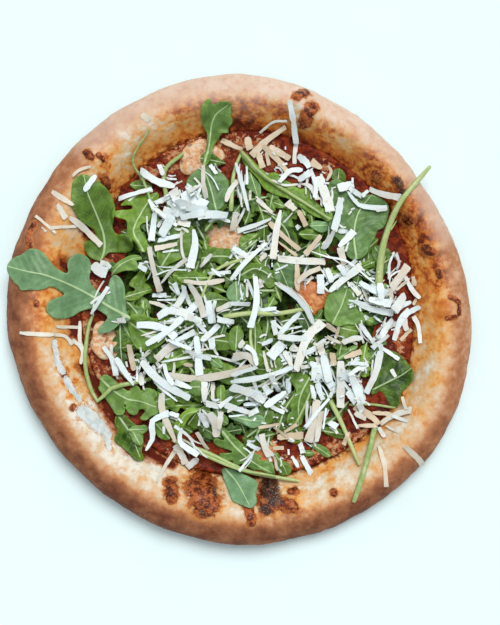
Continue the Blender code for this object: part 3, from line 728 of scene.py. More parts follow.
def make_dough():
    material, tree, shader = new_finish("baked_dough", roughness=0.6, specular=0.25)
    broad = mottled(tree, 10, 0.25, 0.75)
    middle = mottled(tree, 4, 0.3, 0.7, 0.3)
    fine = mottled(tree, 1.1, 0.25, 0.75, 0.7)
    patchy = mottled(tree, 5.5, 0.35, 0.65, 1.9)

    def about(noise, amount):
        return calc(tree, "MULTIPLY", calc(tree, "SUBTRACT", noise, 0.5), amount)

    def summed(*values):
        total = values[0]
        for value in values[1:]:
            total = calc(tree, "ADD", total, value)
        return total

    def cut(name, low, high, ragged=0.3, noise=middle):
        return fade(tree, summed(stored(tree, name), about(noise, ragged)), low, high)

    wander = summed(about(broad, 0.32), about(middle, 0.14), about(fine, 0.06))
    outer = colour_ramp(
        tree, summed(stored(tree, "bake"), wander), (0, (220, 198, 180)),
        (0.3, (206, 166, 134)), (0.6, (174, 116, 78)), (1, (110, 58, 34)),
    )
    golden = cut("golden", 0.05, 0.75, 0.5)
    freckled = cut("freckled", 0.05, 0.8, 0.5)
    foot = calc(tree, "MULTIPLY", fade(tree, stored(tree, "foot"), 0.5, 0.95), 0.3)
    toast = summed(
        stored(tree, "bake"), wander, foot, calc(tree, "MULTIPLY", golden, 0.15),
        calc(tree, "MULTIPLY", freckled, summed(about(patchy, 0.42), about(fine, 0.08), 0.18)),
    )
    inner = colour_ramp(
        tree, toast, (0, (228, 224, 210)), (0.2, (218, 190, 154)), (0.42, (226, 164, 88)),
        (0.64, (206, 116, 40)), (0.84, (154, 66, 22)), (1, (98, 36, 12)),
    )
    colour = blend(tree, stored(tree, "inward"), outer, inner)
    # Pale floury patches: partly flour, partly painted light on the side facing the lamp.
    floury = calc(tree, "MULTIPLY", cut("floury", 0, 1), 0.55)
    colour = blend(tree, floury, colour, paint(222, 198, 182))
    halo = cut("brown", 0.12, 0.42, 0.3)
    colour = blend(tree, calc(tree, "MULTIPLY", halo, 0.8), colour, paint(198, 132, 66))
    browns = colour_ramp(
        tree, summed(middle, about(fine, 0.7)), (0.12, (64, 24, 10)), (0.45, (124, 54, 22)),
        (0.85, (178, 100, 52)),
    )
    brown = cut("brown", 0.36, 0.5, 0.35)
    colour = blend(tree, brown, colour, browns)
    charred = cut("charred", 0.3, 0.55, 0.4, fine)
    ash = blend(tree, fade(tree, fine, 0.6, 0.9), paint(26, 20, 18), paint(120, 108, 100))
    colour = blend(tree, calc(tree, "MULTIPLY", charred, 0.85), colour, ash)
    ring = calc(tree, "MULTIPLY", cut("torn", 0.2, 0.36, 0.45), 0.5)
    colour = blend(tree, ring, colour, paint(186, 108, 50))
    # Pale bluish scales on the torn patches: partly pale dough, partly painted reflection of the
    # window.
    torn = cut("torn", 0.38, 0.46, 0.45, fine)
    pale_scales_with_glint = blend(tree, middle, paint(190, 200, 200), paint(222, 232, 232))
    colour = blend(tree, torn, colour, pale_scales_with_glint)
    # Sauce stain at the inner foot, its dark red-brown partly painted shade where the rim meets
    # the sauce.
    warm = calc(tree, "MULTIPLY", cut("saucy", 0, 0.45, 0.25), 0.85)
    colour = blend(tree, warm, colour, paint(176, 96, 42))
    foot_stain_and_shade = fade(tree, summed(stored(tree, "foot"), about(middle, 0.16)), 0.8, 1.0)
    foot_stain_and_shade = calc(tree, "MAXIMUM", foot_stain_and_shade, cut("saucy", 0.35, 0.75, 0.4))
    colour = blend(tree, foot_stain_and_shade, colour, paint(92, 24, 3))
    # The lowest outer wall and the underside are painted darker towards the floor.
    darker_towards_floor = calc(tree, "MULTIPLY", stored(tree, "low"), 0.6)
    colour = blend(tree, darker_towards_floor, colour, paint(112, 62, 38))
    tree.links.new(colour, shader.inputs["Base Color"])
    glossy = fade(tree, brown, 0, 1, 0.68, 0.42)
    tree.links.new(glossy, shader.inputs["Roughness"])
    tree.links.new(relief(tree, 2.4, 0.35, 0.7, 0.12), shader.inputs["Normal"])
    shader.inputs["Subsurface Weight"].default_value = 0.05
    shader.inputs["Subsurface Radius"].default_value = (0.003, 0.0015, 0.0008)
    return material


dough = make_dough()
crust = make_crust(dough)
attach(crust, "root")
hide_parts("crust")
print("crust:", len(crust.data.vertices), "points,", len(crust.data.polygons), "faces")

# %% [markdown]
# ## The tomato sauce
#
# Cooked tomato sauce lies in the hollow of the base, dark and glossy, with pulp that makes it
# uneven and thin smears of melted cheese. A flat disc would look like paint. A polar grid
# follows the rim's foot, and `swollen_skin` raises its pulp. It runs a little into the foot of
# the rim, as sauce does, so no gap shows.

# %% Sauce
SAUCE_RINGS, SAUCE_SEGMENTS = 56, 300
SAUCE_FLOOR = 4.3
SAUCE_WAVE = 0.25
SAUCE_RUN_UP = 1.4
SAUCE_LIP = 0.8
CHEESE_SMEARS = (
    (-92, -40, -72, -56, 8), (-104, 22, -94, 14, 5), (-100, 34, -96, 26, 3),
    (-100, -8, -96, -34, 6), (-62, 84, -40, 90, 4), (-40, 98, -8, 104, 9),
    (0, 104, 20, 100, 6), (-44, -92, -30, -100, 5), (20, -96, 40, -96, 5),
    (60, 84, 52, 90, 4), (100, -14, 98, -36, 4), (-88, 36, -82, 30, 4),
    (46, -92, 76, -78, 5),
)


def sauce_height(x, y):
    return SAUCE_LEVEL + SAUCE_WAVE * np.sin(x * 0.12) * np.sin(y * 0.1 + 1)


def polar_slab(name, centre, reach_at, rings, segments, floor, top_at, material):
    """A closed slab over a polar grid: a flat underside, and a top by a function of x, y and
    the share of the reach."""
    angle = np.linspace(0, math.tau, segments, endpoint=False)
    shares = np.concatenate(((1,), np.linspace(1, 0.02, rings) ** 0.8))
    reach = shares[:, None] * reach_at(angle)[None]
    x, y = centre[0] + reach * np.cos(angle), centre[1] + reach * np.sin(angle)
    z = top_at(x, y, shares[:, None] * np.ones_like(x))
    z[0] = floor
    points = np.column_stack([v.ravel() for v in (x, y, z)])
    faces = grid_faces(len(shares), segments, closed=True)
    last = (len(shares) - 1) * segments
    middle = len(points)
    points = np.vstack((points, (*centre, floor), (*centre, z[-1].mean())))
    for i in range(segments):
        after = (i + 1) % segments
        faces += [(after, i, middle), (last + i, last + after, middle + 1)]
    piece = new_piece(name, points, faces, material)
    free = np.concatenate((smooth_step(1, 0.97, shares), (0, 1)))
    free = np.concatenate((np.repeat(free[:-2], segments), free[-2:]))
    keep_values(piece.data, free=free)
    return piece, points


def make_tomato():
    material, tree, shader = new_finish("tomato_sauce", roughness=0.4, specular=0.12)
    pulp = mottled(tree, 3.4, 0.42, 0.62)
    colour = blend(tree, pulp, paint(84, 17, 2), paint(132, 44, 7))
    oily = mottled(tree, 9, 0.5, 0.66, 0.4)
    colour = blend(tree, calc(tree, "MULTIPLY", oily, 0.45), colour, paint(164, 78, 30))
    flecks = calc(tree, "ADD", stored(tree, "cheesy"), calc(
        tree, "SUBTRACT", mottled(tree, 3, 0.3, 0.7, 0.9), 0.75))
    mask = fade(tree, flecks, 0.35, 0.65)
    cheese = blend(tree, mottled(tree, 2.5, 0.4, 0.6, 1.7), paint(204, 158, 116),
                   paint(170, 90, 44))
    colour = blend(tree, calc(tree, "MULTIPLY", mask, 0.85), colour, cheese)
    tree.links.new(colour, shader.inputs["Base Color"])
    tree.links.new(fade(tree, mottled(tree, 1.2), 0, 1, 0.3, 0.55), shader.inputs["Roughness"])
    tree.links.new(relief(tree, 2.2, 0.5, 0.7, 0.15), shader.inputs["Normal"])
    return material


def make_sauce(material):
    def edge(angle):
        return around_the_clock(INNER_RADII, angle) + SAUCE_RUN_UP

    def top(x, y, share):
        return sauce_height(x, y) + SAUCE_LIP * smooth_step(0.93, 1, share)

    piece, points = polar_slab(
        "tomato_sauce_layer", (0, 0), edge, SAUCE_RINGS, SAUCE_SEGMENTS, SAUCE_FLOOR, top,
        material,
    )
    smears = mark_strength(CHEESE_SMEARS, points[:, 0], points[:, 1])
    keep_values(piece.data, cheesy=smears)
    return grow(
        piece, SWOLLEN_SKIN, Swell_size=0.009, Swell_height=0.0016, Pimple_size=0.0026,
        Pimple_height=0.0009, Seed=8.0, Material=material,
    )


sauce = make_sauce(make_tomato())
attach(sauce, "root")
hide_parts("tomato_sauce")
print("sauce:", len(sauce.data.polygons), "faces")

# %% [markdown]
# ## The pools of melted cheese
#
# Soft cheese melted here and there into flat pools, cream in places and browned in others.
# Each keeps the uneven edge of its solid. The same slab and the same skin tree make all five,
# and two finishes tell the pale ones from the browned ones.

# %% Melted cheese
POOL_RINGS, POOL_SEGMENTS = 18, 96
POOL_SPREAD = 1.06
POOL_SINK = 0.3
POOL_KINDS = ("pale", "pale", "browned", "pale", "browned")


def pool_edge(number, radius):
    def edge(angle):
        wave = 0.16 * np.sin(2 * angle + number) + 0.1 * np.sin(3 * angle + 2.3 * number)
        return radius * (1 + wave + 0.05 * np.sin(5 * angle + number))

    return edge


def pool_top(thickness):
    def top(x, y, share):
        dome = np.sqrt(np.clip(1 - share ** 4, 0, 1))
        return PILE_FLOOR + thickness * (0.35 + 0.65 * dome)

    return top


def make_melted(name, pale, rich):
    material, tree, shader = new_finish(name, roughness=0.42, specular=0.5)
    colour = blend(tree, mottled(tree, 4, 0.42, 0.58), paint(*pale), paint(*rich))
    spots = calc(tree, "MULTIPLY", mottled(tree, 3.4, 0.5, 0.66, 0.5), 0.6)
    colour = blend(tree, spots, colour, paint(190, 104, 46))
    deep = calc(tree, "MULTIPLY", mottled(tree, 6, 0.58, 0.68, 1.4), 0.7)
    colour = blend(tree, deep, colour, paint(104, 36, 14))
    tree.links.new(colour, shader.inputs["Base Color"])
    tree.links.new(relief(tree, 3, 0.7, 0.8, 0.15), shader.inputs["Normal"])
    shader.inputs["Subsurface Weight"].default_value = 0.1
    shader.inputs["Subsurface Radius"].default_value = (0.004, 0.002, 0.001)
    return material


melted = {
    "pale": make_melted("melted_cheese_pale", (222, 198, 166), (214, 158, 104)),
    "browned": make_melted("melted_cheese_browned", (216, 146, 80), (198, 108, 44)),
}
for number, ((x, y, radius, thickness), kind) in enumerate(zip(POOLS, POOL_KINDS), 1):
    pool, _ = polar_slab(
        f"melted_pool_{number}", (x, y), pool_edge(number, radius * POOL_SPREAD), POOL_RINGS,
        POOL_SEGMENTS, SAUCE_LEVEL - POOL_SINK, pool_top(thickness), melted[kind],
    )
    grow(pool, SWOLLEN_SKIN, Swell_size=0.006, Swell_height=0.0016, Pimple_size=0.002,
         Pimple_height=0.0005, Seed=float(number), Material=melted[kind])
    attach(pool, "root")
    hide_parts(f"melted_cheese_{number}")
    print(pool.name, len(pool.data.polygons), "faces")

# %% [markdown]
# ## What lies under what
#
# Leaves and shavings pile up, each on those before it. A physics run could drop them, but
# each leaf here has its own place. Instead a height map remembers, for every square
# millimetre, how high the pile stands. A new leaf or strip reads it, lies down on it, and
# then adds itself.

# %% The height map of the pile
PILE_REACH = 160
GROUND_NAMES = ("crust_skin", "tomato_s", "melted_p")


class Pile:
    """The height of everything laid so far, on a grid of one millimetre."""

    def __init__(self):
        self.top = np.zeros((2 * PILE_REACH, 2 * PILE_REACH))

    def cells(self, x, y):
        last = 2 * PILE_REACH - 1
        return [np.clip(np.round(v + PILE_REACH).astype(int), 0, last) for v in (x, y)]

    def add(self, x, y, z):
        np.maximum.at(self.top, tuple(self.cells(x, y)), z)

    def under(self, x, y, reach):
        """The highest that the pile stands within a small reach of each place."""
        found = np.zeros(np.shape(x))
        for dx in range(-reach, reach + 1):
            for dy in range(-reach, reach + 1):
                i, j = self.cells(x + dx, y + dy)
                found = np.maximum(found, self.top[i, j])
        return found


def mesh_places(piece):
    """The points of a finished piece, back in the tables' millimetres."""
    co = np.empty(len(piece.data.vertices) * 3, np.float32)
    piece.data.vertices.foreach_get("co", co)
    co = co.reshape(-1, 3) / MM
    return co[:, 0] - SHIFT[0], co[:, 1] - SHIFT[1], co[:, 2]


pile = Pile()
for ground in [o for o in bpy.data.objects if o.name.startswith(GROUND_NAMES)]:
    pile.add(*mesh_places(ground))
spread = np.arange(-PILE_REACH, PILE_REACH)
gx, gy = np.meshgrid(spread, spread, indexing="ij")
on_sauce = np.hypot(gx, gy) < around_the_clock(INNER_RADII, np.arctan2(gy, gx))
pile.top = np.maximum(pile.top, np.where(on_sauce, sauce_height(gx, gy), 0))
print("highest ground, mm:", pile.top.max().round(1))

# %% [markdown]
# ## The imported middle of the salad
#
# Under the leaves that show lies a crush of others. Its solid is a low lumpy mound, open
# where a pool of cheese shows. Here it is the same mound, a little lower to leave room for
# the real leaves, with a deep green finish that reads as shade between them.

# %% The core
CORE_CROWN, CORE_EDGE, CORE_LUMPS = 13.5, 8.5, 0.9
CORE_DROP = 4.5
CORE_INSET = 3
CORE_RINGS, CORE_SEGMENTS = 34, 160
POOL_MARGIN = 1.6


def core_reach(angle):
    return around_the_clock(CORE_RADII, angle) - CORE_INSET


def core_height(x, y, share):
    lumps = CORE_LUMPS * np.sin(x * 0.16 + 0.5) * np.sin(y * 0.14 + 1.1)
    mound = CORE_CROWN - (CORE_CROWN - CORE_EDGE) * share ** 2 + lumps * (1 - share ** 4)
    mound = mound - CORE_DROP
    return np.maximum(mound, PILE_FLOOR + 0.6) - 0.4 * smooth_step(0.9, 1, share)


def make_greens_in_painted_shade():
    material, tree, shader = new_finish("packed_greens", roughness=0.7, specular=0.1)
    # Painted shade: near-black greens, with reddish-brown patches, stand for the shade between the
    # leaves.
    colour = blend(tree, mottled(tree, 4, 0.45, 0.6), paint(20, 32, 4), paint(46, 74, 12))
    colour = blend(tree, calc(tree, "MULTIPLY", mottled(tree, 7, 0.55, 0.65, 0.8), 0.8), colour,
                   paint(84, 30, 8))
    tree.links.new(colour, shader.inputs["Base Color"])
    tree.links.new(relief(tree, 4, 1.0, 1.2, 0.3), shader.inputs["Normal"])
    return material


def cut_pools(core):
    """Opens the core over each pool."""
    for number, (x, y, radius, _) in enumerate(POOLS, 1):
        cutter, _ = polar_slab(
            "cutter", (x, y), pool_edge(number, radius + POOL_MARGIN), 2, 48, 0,
            lambda px, py, share: np.full_like(px, 40.0), None,
        )
        modifier = core.modifiers.new("opening", "BOOLEAN")
        modifier.operation, modifier.solver = "DIFFERENCE", "EXACT"
        modifier.object = cutter
        graph = bpy.context.evaluated_depsgraph_get()
        core.data = bpy.data.meshes.new_from_object(core.evaluated_get(graph))
        core.modifiers.clear()
        bpy.data.objects.remove(cutter)


core, _ = polar_slab(
    "packed_greens", (0, 0), core_reach, CORE_RINGS, CORE_SEGMENTS, SAUCE_LEVEL, core_height,
    make_greens_in_painted_shade(),
)
cut_pools(core)
pile.add(*mesh_places(core))
share = np.hypot(gx, gy) / core_reach(np.arctan2(gy, gx))
for number, (x, y, radius, _) in enumerate(POOLS, 1):
    open_to = pool_edge(number, radius + POOL_MARGIN)(np.arctan2(gy - y, gx - x))
    share = np.where(np.hypot(gx - x, gy - y) < open_to, 2, share)
pile.top = np.where(share < 1, np.maximum(pile.top, core_height(gx, gy, share)), pile.top)
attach(core, "root")
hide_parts("rocket_and_shavings")
print("core:", len(core.data.polygons), "faces")

# %% [markdown]
# ## The rocket leaves
#
# A rocket leaf has a long stalk, a pale midrib, and a blade cut into round lobes or left
# oval. The leaves whose shape shows are listed by outline and midrib, as a tracing would give
# them. Each is filled with a fine grid whose edge points are pulled onto the outline, so that
# any shape can be made the same way. It then lies down on the height map: the midrib bridges
# hollows, the sides hang until something holds them, and the edge ruffles.

# %% Leaves whose shape shows
# How bluish (partly painted reflection of the cool light), how light (partly painted shade
# where a leaf lies in shadow), how ruffled, the outline, and the midrib from the stalk to the tip.
LEAVES = (
    (0, .2, .8, (58, 79, 57, 85, 60, 88.5, 64, 87.5, 66.5, 83, 66, 79, 62, 77),
     (61, 78, 62, 87)),
    (0, .2, .8, (-26, 95, -22, 98, -17, 97, -12, 93, -8, 91, -12, 90, -17, 89, -23, 90),
     (-25, 94, -9, 91)),
    (0, .25, 1, (-34, -66, -29, -63, -25, -66, -24, -71, -27, -75, -31, -74, -35, -70),
     (-33, -73, -27, -65)),
    (.3, .45, 1, (-31, -45, -24, -45, -21, -50, -23, -54, -27, -55, -32, -52),
     (-31, -49, -22, -49)),
    (0, .35, 1, (5, -8, 11, -9, 13, -14, 14, -20, 13, -26, 10, -31, 6, -28, 5, -20, 5.5, -14),
     (9, -30, 9, -9)),
    (0, .3, 1, (74, 30, 80, 34, 86, 41, 86, 45, 79, 41, 72, 34), (73, 31, 86, 43)),
    (.2, .55, 1, (88, 16, 93, 15, 95, 8, 96, 1, 90, 0, 86, 6), (94, 2, 90, 14)),
    (0, .5, 1.2, (59, -9, 66, -8, 74, -11, 75, -15, 70, -19, 64, -20, 60, -15),
     (60, -12, 74, -15)),
    (.5, .6, 1, (-20, -32, -15, -29.5, -10, -35, -11, -38, -17, -37), (-19, -31, -11, -37)),
    (.4, .6, 1, (59, -33, 62, -28, 66, -25, 73, -22, 73, -25, 68, -29, 64, -32),
     (60, -32, 72, -24)),
    (0, .22, 1.2, (-77, -64, -72, -66, -68, -70, -64, -73, -60, -77, -60, -84, -61, -90,
      -58, -94, -63, -94, -67, -91, -71, -87, -76, -83, -78, -80, -75, -76, -78, -72),
     (-75, -68, -68, -78, -62, -91)),
    (.2, .45, 1, (-54, -72, -50, -70, -46, -73, -43, -77, -43, -82, -48, -82, -52, -79),
     (-52, -72, -44, -81)),
    (0, .35, 1, (24, -104, 22, -97, 20, -90, 23, -89, 26, -95, 30, -96, 32, -99, 31, -103,
      28, -104), (21, -90, 26, -97, 29, -103)),
    (.1, .35, .8, (37, -89, 42, -88, 46, -89.5, 46, -91.5, 42, -92.5, 38, -91.5),
     (37, -90, 46, -90)),
    (.3, .45, .8, (43, -84, 48, -84, 53, -86.5, 56, -89, 56.5, -92.5, 53, -93, 49, -90, 45, -87),
     (43, -84, 50, -88, 56, -92)),
    (0, .25, 1, (49, -76, 55, -73, 62, -75, 67, -78, 64, -82, 57, -80), (50, -76, 66, -79)),
    (.1, .5, 1.2, (-50, 24, -52, 33, -50, 41, -46, 46, -40, 52, -30, 52, -25, 41, -30, 33,
      -36, 30, -43, 27), (-49, 25, -42, 36, -32, 50)),
    (.1, .42, 1.2, (-24, 35, -18, 38, -12, 37, -6, 37, 0, 32, 4, 29, 0, 25, -5, 23.5, -9, 25,
      -13, 27, -16, 29, -21, 28, -25, 25), (-23, 31, -10, 32, 3, 28)),
    (.1, .35, 1, (-2, 19, 3, 26, 7, 28, 13, 27, 19, 23, 26, 17, 21, 13, 17, 11, 14, 15,
      10, 19, 5, 17, -1, 16), (0, 20, 10, 24, 24, 16)),
    (.1, .32, 1, (-23, 7, -19, 10, -14, 9, -10, 6, -5, 5, -7, 2, -14, -2, -19, -1, -23, 3),
     (-22, 3, -14, 5, -6, 4)),
    (.8, .6, .6, (-3, 17, 1, 15, 3, 12, 4, 8, 2, 3.5, -2, 2, -7, 4, -9, 8, -8, 12),
     (-3, 17, -2, 3)),
    (.75, .5, .6, (21, 28, 28, 29, 34, 26, 35, 20, 34, 13, 30, 8, 26, 12, 21, 17, 20, 22),
     (23, 27, 31, 10)),
    (.1, .4, .8, (-7, -15, -3.5, -11, 0, -12, 2, -16, 2, -19, 0, -25, -3, -28, -7, -25, -7.5, -19),
     (-3, -27, -2, -12)),
    (.1, .6, .8, (-15, -50, -11, -47, -9, -50, -9.5, -57, -12, -61, -14.5, -56),
     (-12, -60, -12, -48)),
    (.6, .55, .8, (5, 87, 9, 82, 12, 78, 13, 73, 12, 66, 9, 71, 5, 74, 2, 77, 4, 82),
     (6, 86, 11, 68)),
    (.1, .45, 1, (35, 47, 44, 50, 51, 45, 45, 42, 39, 43), (36, 46, 50, 45)),
    (.8, .9, .8, (42, 52, 47, 55, 52, 54, 57, 54, 55, 49, 51, 46.5, 46, 48), (43, 51, 56, 52)),
    (.7, .55, .7, (-31, 83, -26, 87, -20, 89, -15, 86, -9, 82, -7, 76, -8.5, 68, -11, 61,
      -17, 59, -24, 61, -31, 65, -34, 72, -34, 79), (-15, 60, -18, 72, -23, 88)),
    (.05, .45, .6, (-70, 77.5, -67, 80, -63, 80.8, -59, 79.5, -55, 77.5, -56, 74.5, -61, 73.5,
      -65, 74, -68, 75.5), (-56, 76.5, -69, 77.5)),
    (.05, .65, 1.2, (-51, 73, -56, 71, -60, 71, -66, 70, -71, 67.5, -76.5, 63.5, -71, 64,
      -67.5, 63.8, -67, 61.8, -70, 61, -75, 61, -80, 59, -77.5, 56, -72, 55, -70, 53,
      -70.5, 49, -70.5, 45, -67, 42, -64, 39, -62, 34, -57, 34, -57, 40, -60, 45, -63, 50,
      -61, 52.5, -57, 52.5, -55, 57, -55, 62, -51, 67),
     (-60, 35, -66, 46, -65, 52, -62, 58, -58, 65, -52, 72)),
    (.3, .62, 1, (-81, 20, -79.5, 25, -75, 29.5, -70, 32, -66, 33, -61, 32, -61, 29.5,
      -65, 29.5, -64, 28, -62, 24, -66, 23, -71, 23, -76, 22, -80, 19.5),
     (-81, 20, -74, 27, -66, 30.5, -62, 31)),
    (0, .42, 1.2, (-73, 5, -70, 10.5, -66, 10, -65, 12, -70, 14, -68, 17.5, -65, 20.5, -61, 24,
      -59, 19, -60, 15.5, -57, 14.5, -54, 10, -60, 8.5, -63, 5, -68, 4), (-72, 6.5, -56, 11.5)),
    (.1, .5, 1.3, (-71, -6, -64, -3, -57, -6, -50, -7, -40, -7, -37, -14, -46, -20, -50, -24,
      -56, -27, -62, -27, -67, -22, -69, -16, -70, -12), (-69, -9, -60, -15, -50, -17, -39, -13)),
    (.05, .62, .9, (-48, -33, -45, -28, -40, -26, -35, -24.5, -32, -26, -30.5, -30, -34, -35,
      -40, -38, -45, -39.5, -49, -36), (-48, -36, -40, -31, -32, -27)),
    (.15, .5, 1.2, (29, -42, 34, -40, 42, -41, 45, -46, 44, -52, 44, -58, 42, -64, 39, -67,
      38, -73, 33, -74, 28, -72, 29, -66, 32, -64, 30, -60, 32, -56, 35, -53, 33, -48,
      30, -46), (43, -43, 38, -52, 36, -60, 36, -73)),
    (.3, .6, 1.3, (-88, -43, -84, -41, -80, -43, -76, -47, -71, -51, -69, -52, -68, -49,
      -65, -47.5, -62, -50, -62, -52.5, -60, -50, -57, -49.5, -52, -51, -51, -55, -54, -57,
      -51, -59, -49, -62, -51, -66, -55, -67, -58, -70, -63, -69, -60, -65.5, -57.5, -63,
      -60, -62.6, -63, -63, -64, -67, -69, -66, -71, -62, -71, -59, -72.5, -60, -71, -63,
      -73, -67, -78, -66, -80, -62, -83, -58, -86, -53, -89, -50, -87, -47),
     (-87, -44, -78, -52, -70, -56.5, -62, -58, -53, -61)),
    (.4, .62, .9, (-70, -75.5, -66, -72.5, -62, -73, -59, -72, -56.5, -75, -60, -78.5,
      -64, -78, -68, -77.5), (-69, -75.5, -58, -75)),
    (.35, .5, .7, (-68, -77, -64, -76, -60, -79, -59.5, -84.5, -63, -85.5, -67, -82),
     (-66, -77, -62, -84)),
    (0, .2, 1.4, (87, -29, 92, -26, 97, -27, 101, -30, 106, -36, 107.7, -40, 107, -45,
      103, -50, 100, -53, 99, -58, 98, -62, 93, -61, 91, -56, 89, -53, 87, -51, 84, -53.5,
      81, -54, 83, -48, 86, -42, 85, -36), (84, -50, 94, -45, 100, -42, 107, -37)),
    (.35, .68, 1.2, (58, 12, 63, 15.5, 67, 15, 70, 11, 72, 7, 71, 3, 73, -1, 79, -5.5,
      77, -9, 71, -11, 66, -10, 61, -12, 56, -10, 52, -6, 52, 0, 53, 6), (57, -10, 63, 2, 67, 14)),
    (.55, .55, 1.2, (54, 78, 60, 82, 66, 78, 72, 74, 78, 72, 85, 71, 90, 68, 93, 64, 93, 60,
      92, 55, 90, 50.5, 86, 49, 85, 46, 82.5, 42, 80, 37, 78, 33, 74, 30, 68, 30, 64, 38,
      61, 44, 57, 46, 55, 50, 56, 58, 55, 68), (72, 31, 71, 46, 74, 60, 82, 71)),
    (.9, .95, .8, (-7, -67, -2, -65, 3, -66, 9, -66.5, 13, -66, 16, -70, 12, -73, 8, -74.8,
      4, -73, 0, -71, -6, -68.5), (-6, -67, 6, -69.5, 15, -70)),
    (.35, .55, 1.2, (-13, -73, -9, -75, -5, -79, -1, -82, 3, -86, 5, -89, 8, -89.5, 14, -92,
      10, -93.8, 14, -94.5, 20, -95, 21, -101, 22, -104, 17, -103, 13, -100, 9, -101, 5, -99,
      1, -96, -2, -98, -6, -100, -4, -94.5, -7, -95.5, -12, -93, -14, -90, -8, -90, -4, -89.5,
      -6, -88, -12, -87, -17, -84, -16, -80, -11, -82, -9, -82, -12, -78),
     (-12, -75, -6, -83, 2, -91, 10, -97, 19, -102)),
    (.95, .8, .9, (-12, -99, -6, -99.5, 0, -102, 5, -104, 11, -107.5, 10.5, -111, 9, -113.5,
      10, -117, 10, -120, 7, -122.8, 4, -122, 0, -120.5, -5, -119, -6.5, -114, -9, -109,
      -11, -104), (-10, -99, -2, -108, 5, -120)),
    (.05, .62, .8, (0, 99, 3, 98, 8, 93, 13, 88, 17, 84.5, 21, 85.3, 26, 83, 28, 79.5, 32, 78,
      37, 74, 41, 75, 45, 69, 48, 65, 52, 62, 56, 61.5, 58, 57, 55, 53, 51, 56, 47, 56.5,
      43, 59, 39, 62, 34, 66, 28, 69, 22, 70.5, 17, 73, 13, 76, 10, 82, 5, 87, 1, 92),
     (0, 98, 11, 85, 24, 76, 35, 69, 45, 62, 56, 56)),
    (.05, .85, .5, (-41, -81, -42, -74, -39, -68.5, -35, -64, -30.5, -61.5, -27, -62,
      -24.5, -64, -29, -65.3, -31, -67.5, -33.5, -71, -35.5, -76, -37, -81),
     (-39, -81, -38, -73, -33.5, -66, -26, -63.5)),
    (.1, .42, .9, (-87, 29, -83, 35, -78, 35, -71, 34.3, -67, 36.5, -66.2, 40, -68, 44.5,
      -73, 45.8, -77, 45.7, -79, 48, -80.5, 51.5, -78.5, 55, -77.3, 61, -79.5, 68, -82, 73,
      -87, 77, -91, 80, -97, 81.8, -102, 79, -104, 72, -104, 65, -102, 58, -98.5, 53,
      -93, 50, -91, 49, -91, 43, -97, 42, -97.5, 37, -95, 32, -91, 30),
     (-87, 30, -85, 38, -85.5, 46, -88, 54, -91, 62, -94, 70, -96, 80)),
    (.9, .72, .8, (-67, -7, -71, -2, -71, 6, -72, 14, -75, 19.5, -79, 21, -82, 17, -82.5, 9,
      -84, 7, -88, 10, -91.5, 12.5, -93.5, 16, -94, 20, -92.5, 25, -94, 31, -98, 33.3,
      -102, 33.3, -106, 30, -107, 26, -106, 22, -107, 20.7, -110, 22, -113.5, 24, -117, 28.5,
      -121, 33.5, -125, 35.6, -129.5, 35.6, -134, 32, -139, 31, -142.5, 27.5, -144, 24,
      -142, 19, -138, 14, -136, 13, -134.8, 9.6, -130, 10.4, -124, 10, -120, 10.6,
      -117, 12.7, -114.5, 12.4, -110.5, 9.4, -108.5, 8.5, -109, 7.5, -112, 6.3, -116, 4.6,
      -119, 1, -118.7, -3.5, -115, -6.8, -110, -7.4, -104.5, -5.5, -100.5, -2.5, -96, -1,
      -91, 0, -88, -1.5, -84, -4, -82, -6, -84, -8.5, -87.5, -12, -89.5, -15.4, -84, -16,
      -78.5, -14, -75, -10.5, -73, -9, -70, -9),
     (-67, -7, -80, 0, -90, 6, -100, 11.5, -110, 16, -120, 19.5, -130, 21.5, -143, 25)),
    (.3, .5, 1.4, (-24.5, 88, -22.5, 95, -21, 103, -20.5, 109, -23.5, 113, -24.5, 119,
      -24, 124.5, -20.5, 128.8, -18, 128, -17.8, 124.8, -15, 125.7, -12, 127, -6, 126.5,
      -5, 124, -6.3, 122.3, -5.2, 119.5, -6.5, 118.8, -4.5, 116.5, -6, 113, -8, 112.5,
      -7, 109.5, -10, 109, -12, 109.5, -13.5, 106, -16, 103, -17.4, 100, -18, 95, -20, 90,
      -21.5, 87.5), (-23, 88, -20.5, 97, -19, 106, -18, 114, -15, 120, -9, 124)),
)

# %% [markdown]
# ### Laying a leaf
#
# The midrib is laid first, as a stiff line over what is highest under it. The blade hangs
# from it on both sides, rests on what it meets, and waves towards its edge. The upper skin is
# the lower one raised by the leaf's thickness, which is greatest at the midrib.

# %% From an outline to a leaf on the pile
LEAF_THICKNESS = 0.35
MIDRIB_THICKNESS = 0.9
EDGE_THICKNESS = 0.22
MIDRIB_STEP = 1.2
RUFFLE_WAVE, RUFFLE_LIFT = 1.3, 0.4
VEIN_SPACING, VEIN_SLANT = 5, 0.9


def rounded(outline):
    """An outline with its corners cut twice."""
    points = np.array(outline, float).reshape(-1, 2)
    for _ in range(2):
        after = np.roll(points, -1, axis=0)
        points = np.stack((0.75 * points + 0.25 * after, 0.25 * points + 0.75 * after), 1)
        points = points.reshape(-1, 2)
    return points


def edge_distance(x, y, outline):
    """How far each place is from an outline, below zero inside it."""
    place = np.stack((x, y), -1)[..., None, :]
    a, b = outline, np.roll(outline, -1, axis=0)
    run = b - a
    t = ((place - a) * run).sum(-1) / np.maximum((run ** 2).sum(-1), 1e-9)
    away = place - a - np.clip(t, 0, 1)[..., None] * run
    nearest = np.sqrt((away ** 2).sum(-1)).min(-1)
    above = place[..., 1] < a[:, 1], place[..., 1] < b[:, 1]
    cross = run[:, 0] * (place[..., 1] - a[:, 1]) - run[:, 1] * (place[..., 0] - a[:, 0])
    turns = ((~above[0] & above[1] & (cross > 0)).sum(-1)
             - (above[0] & ~above[1] & (cross < 0)).sum(-1))
    return np.where(turns != 0, -nearest, nearest)


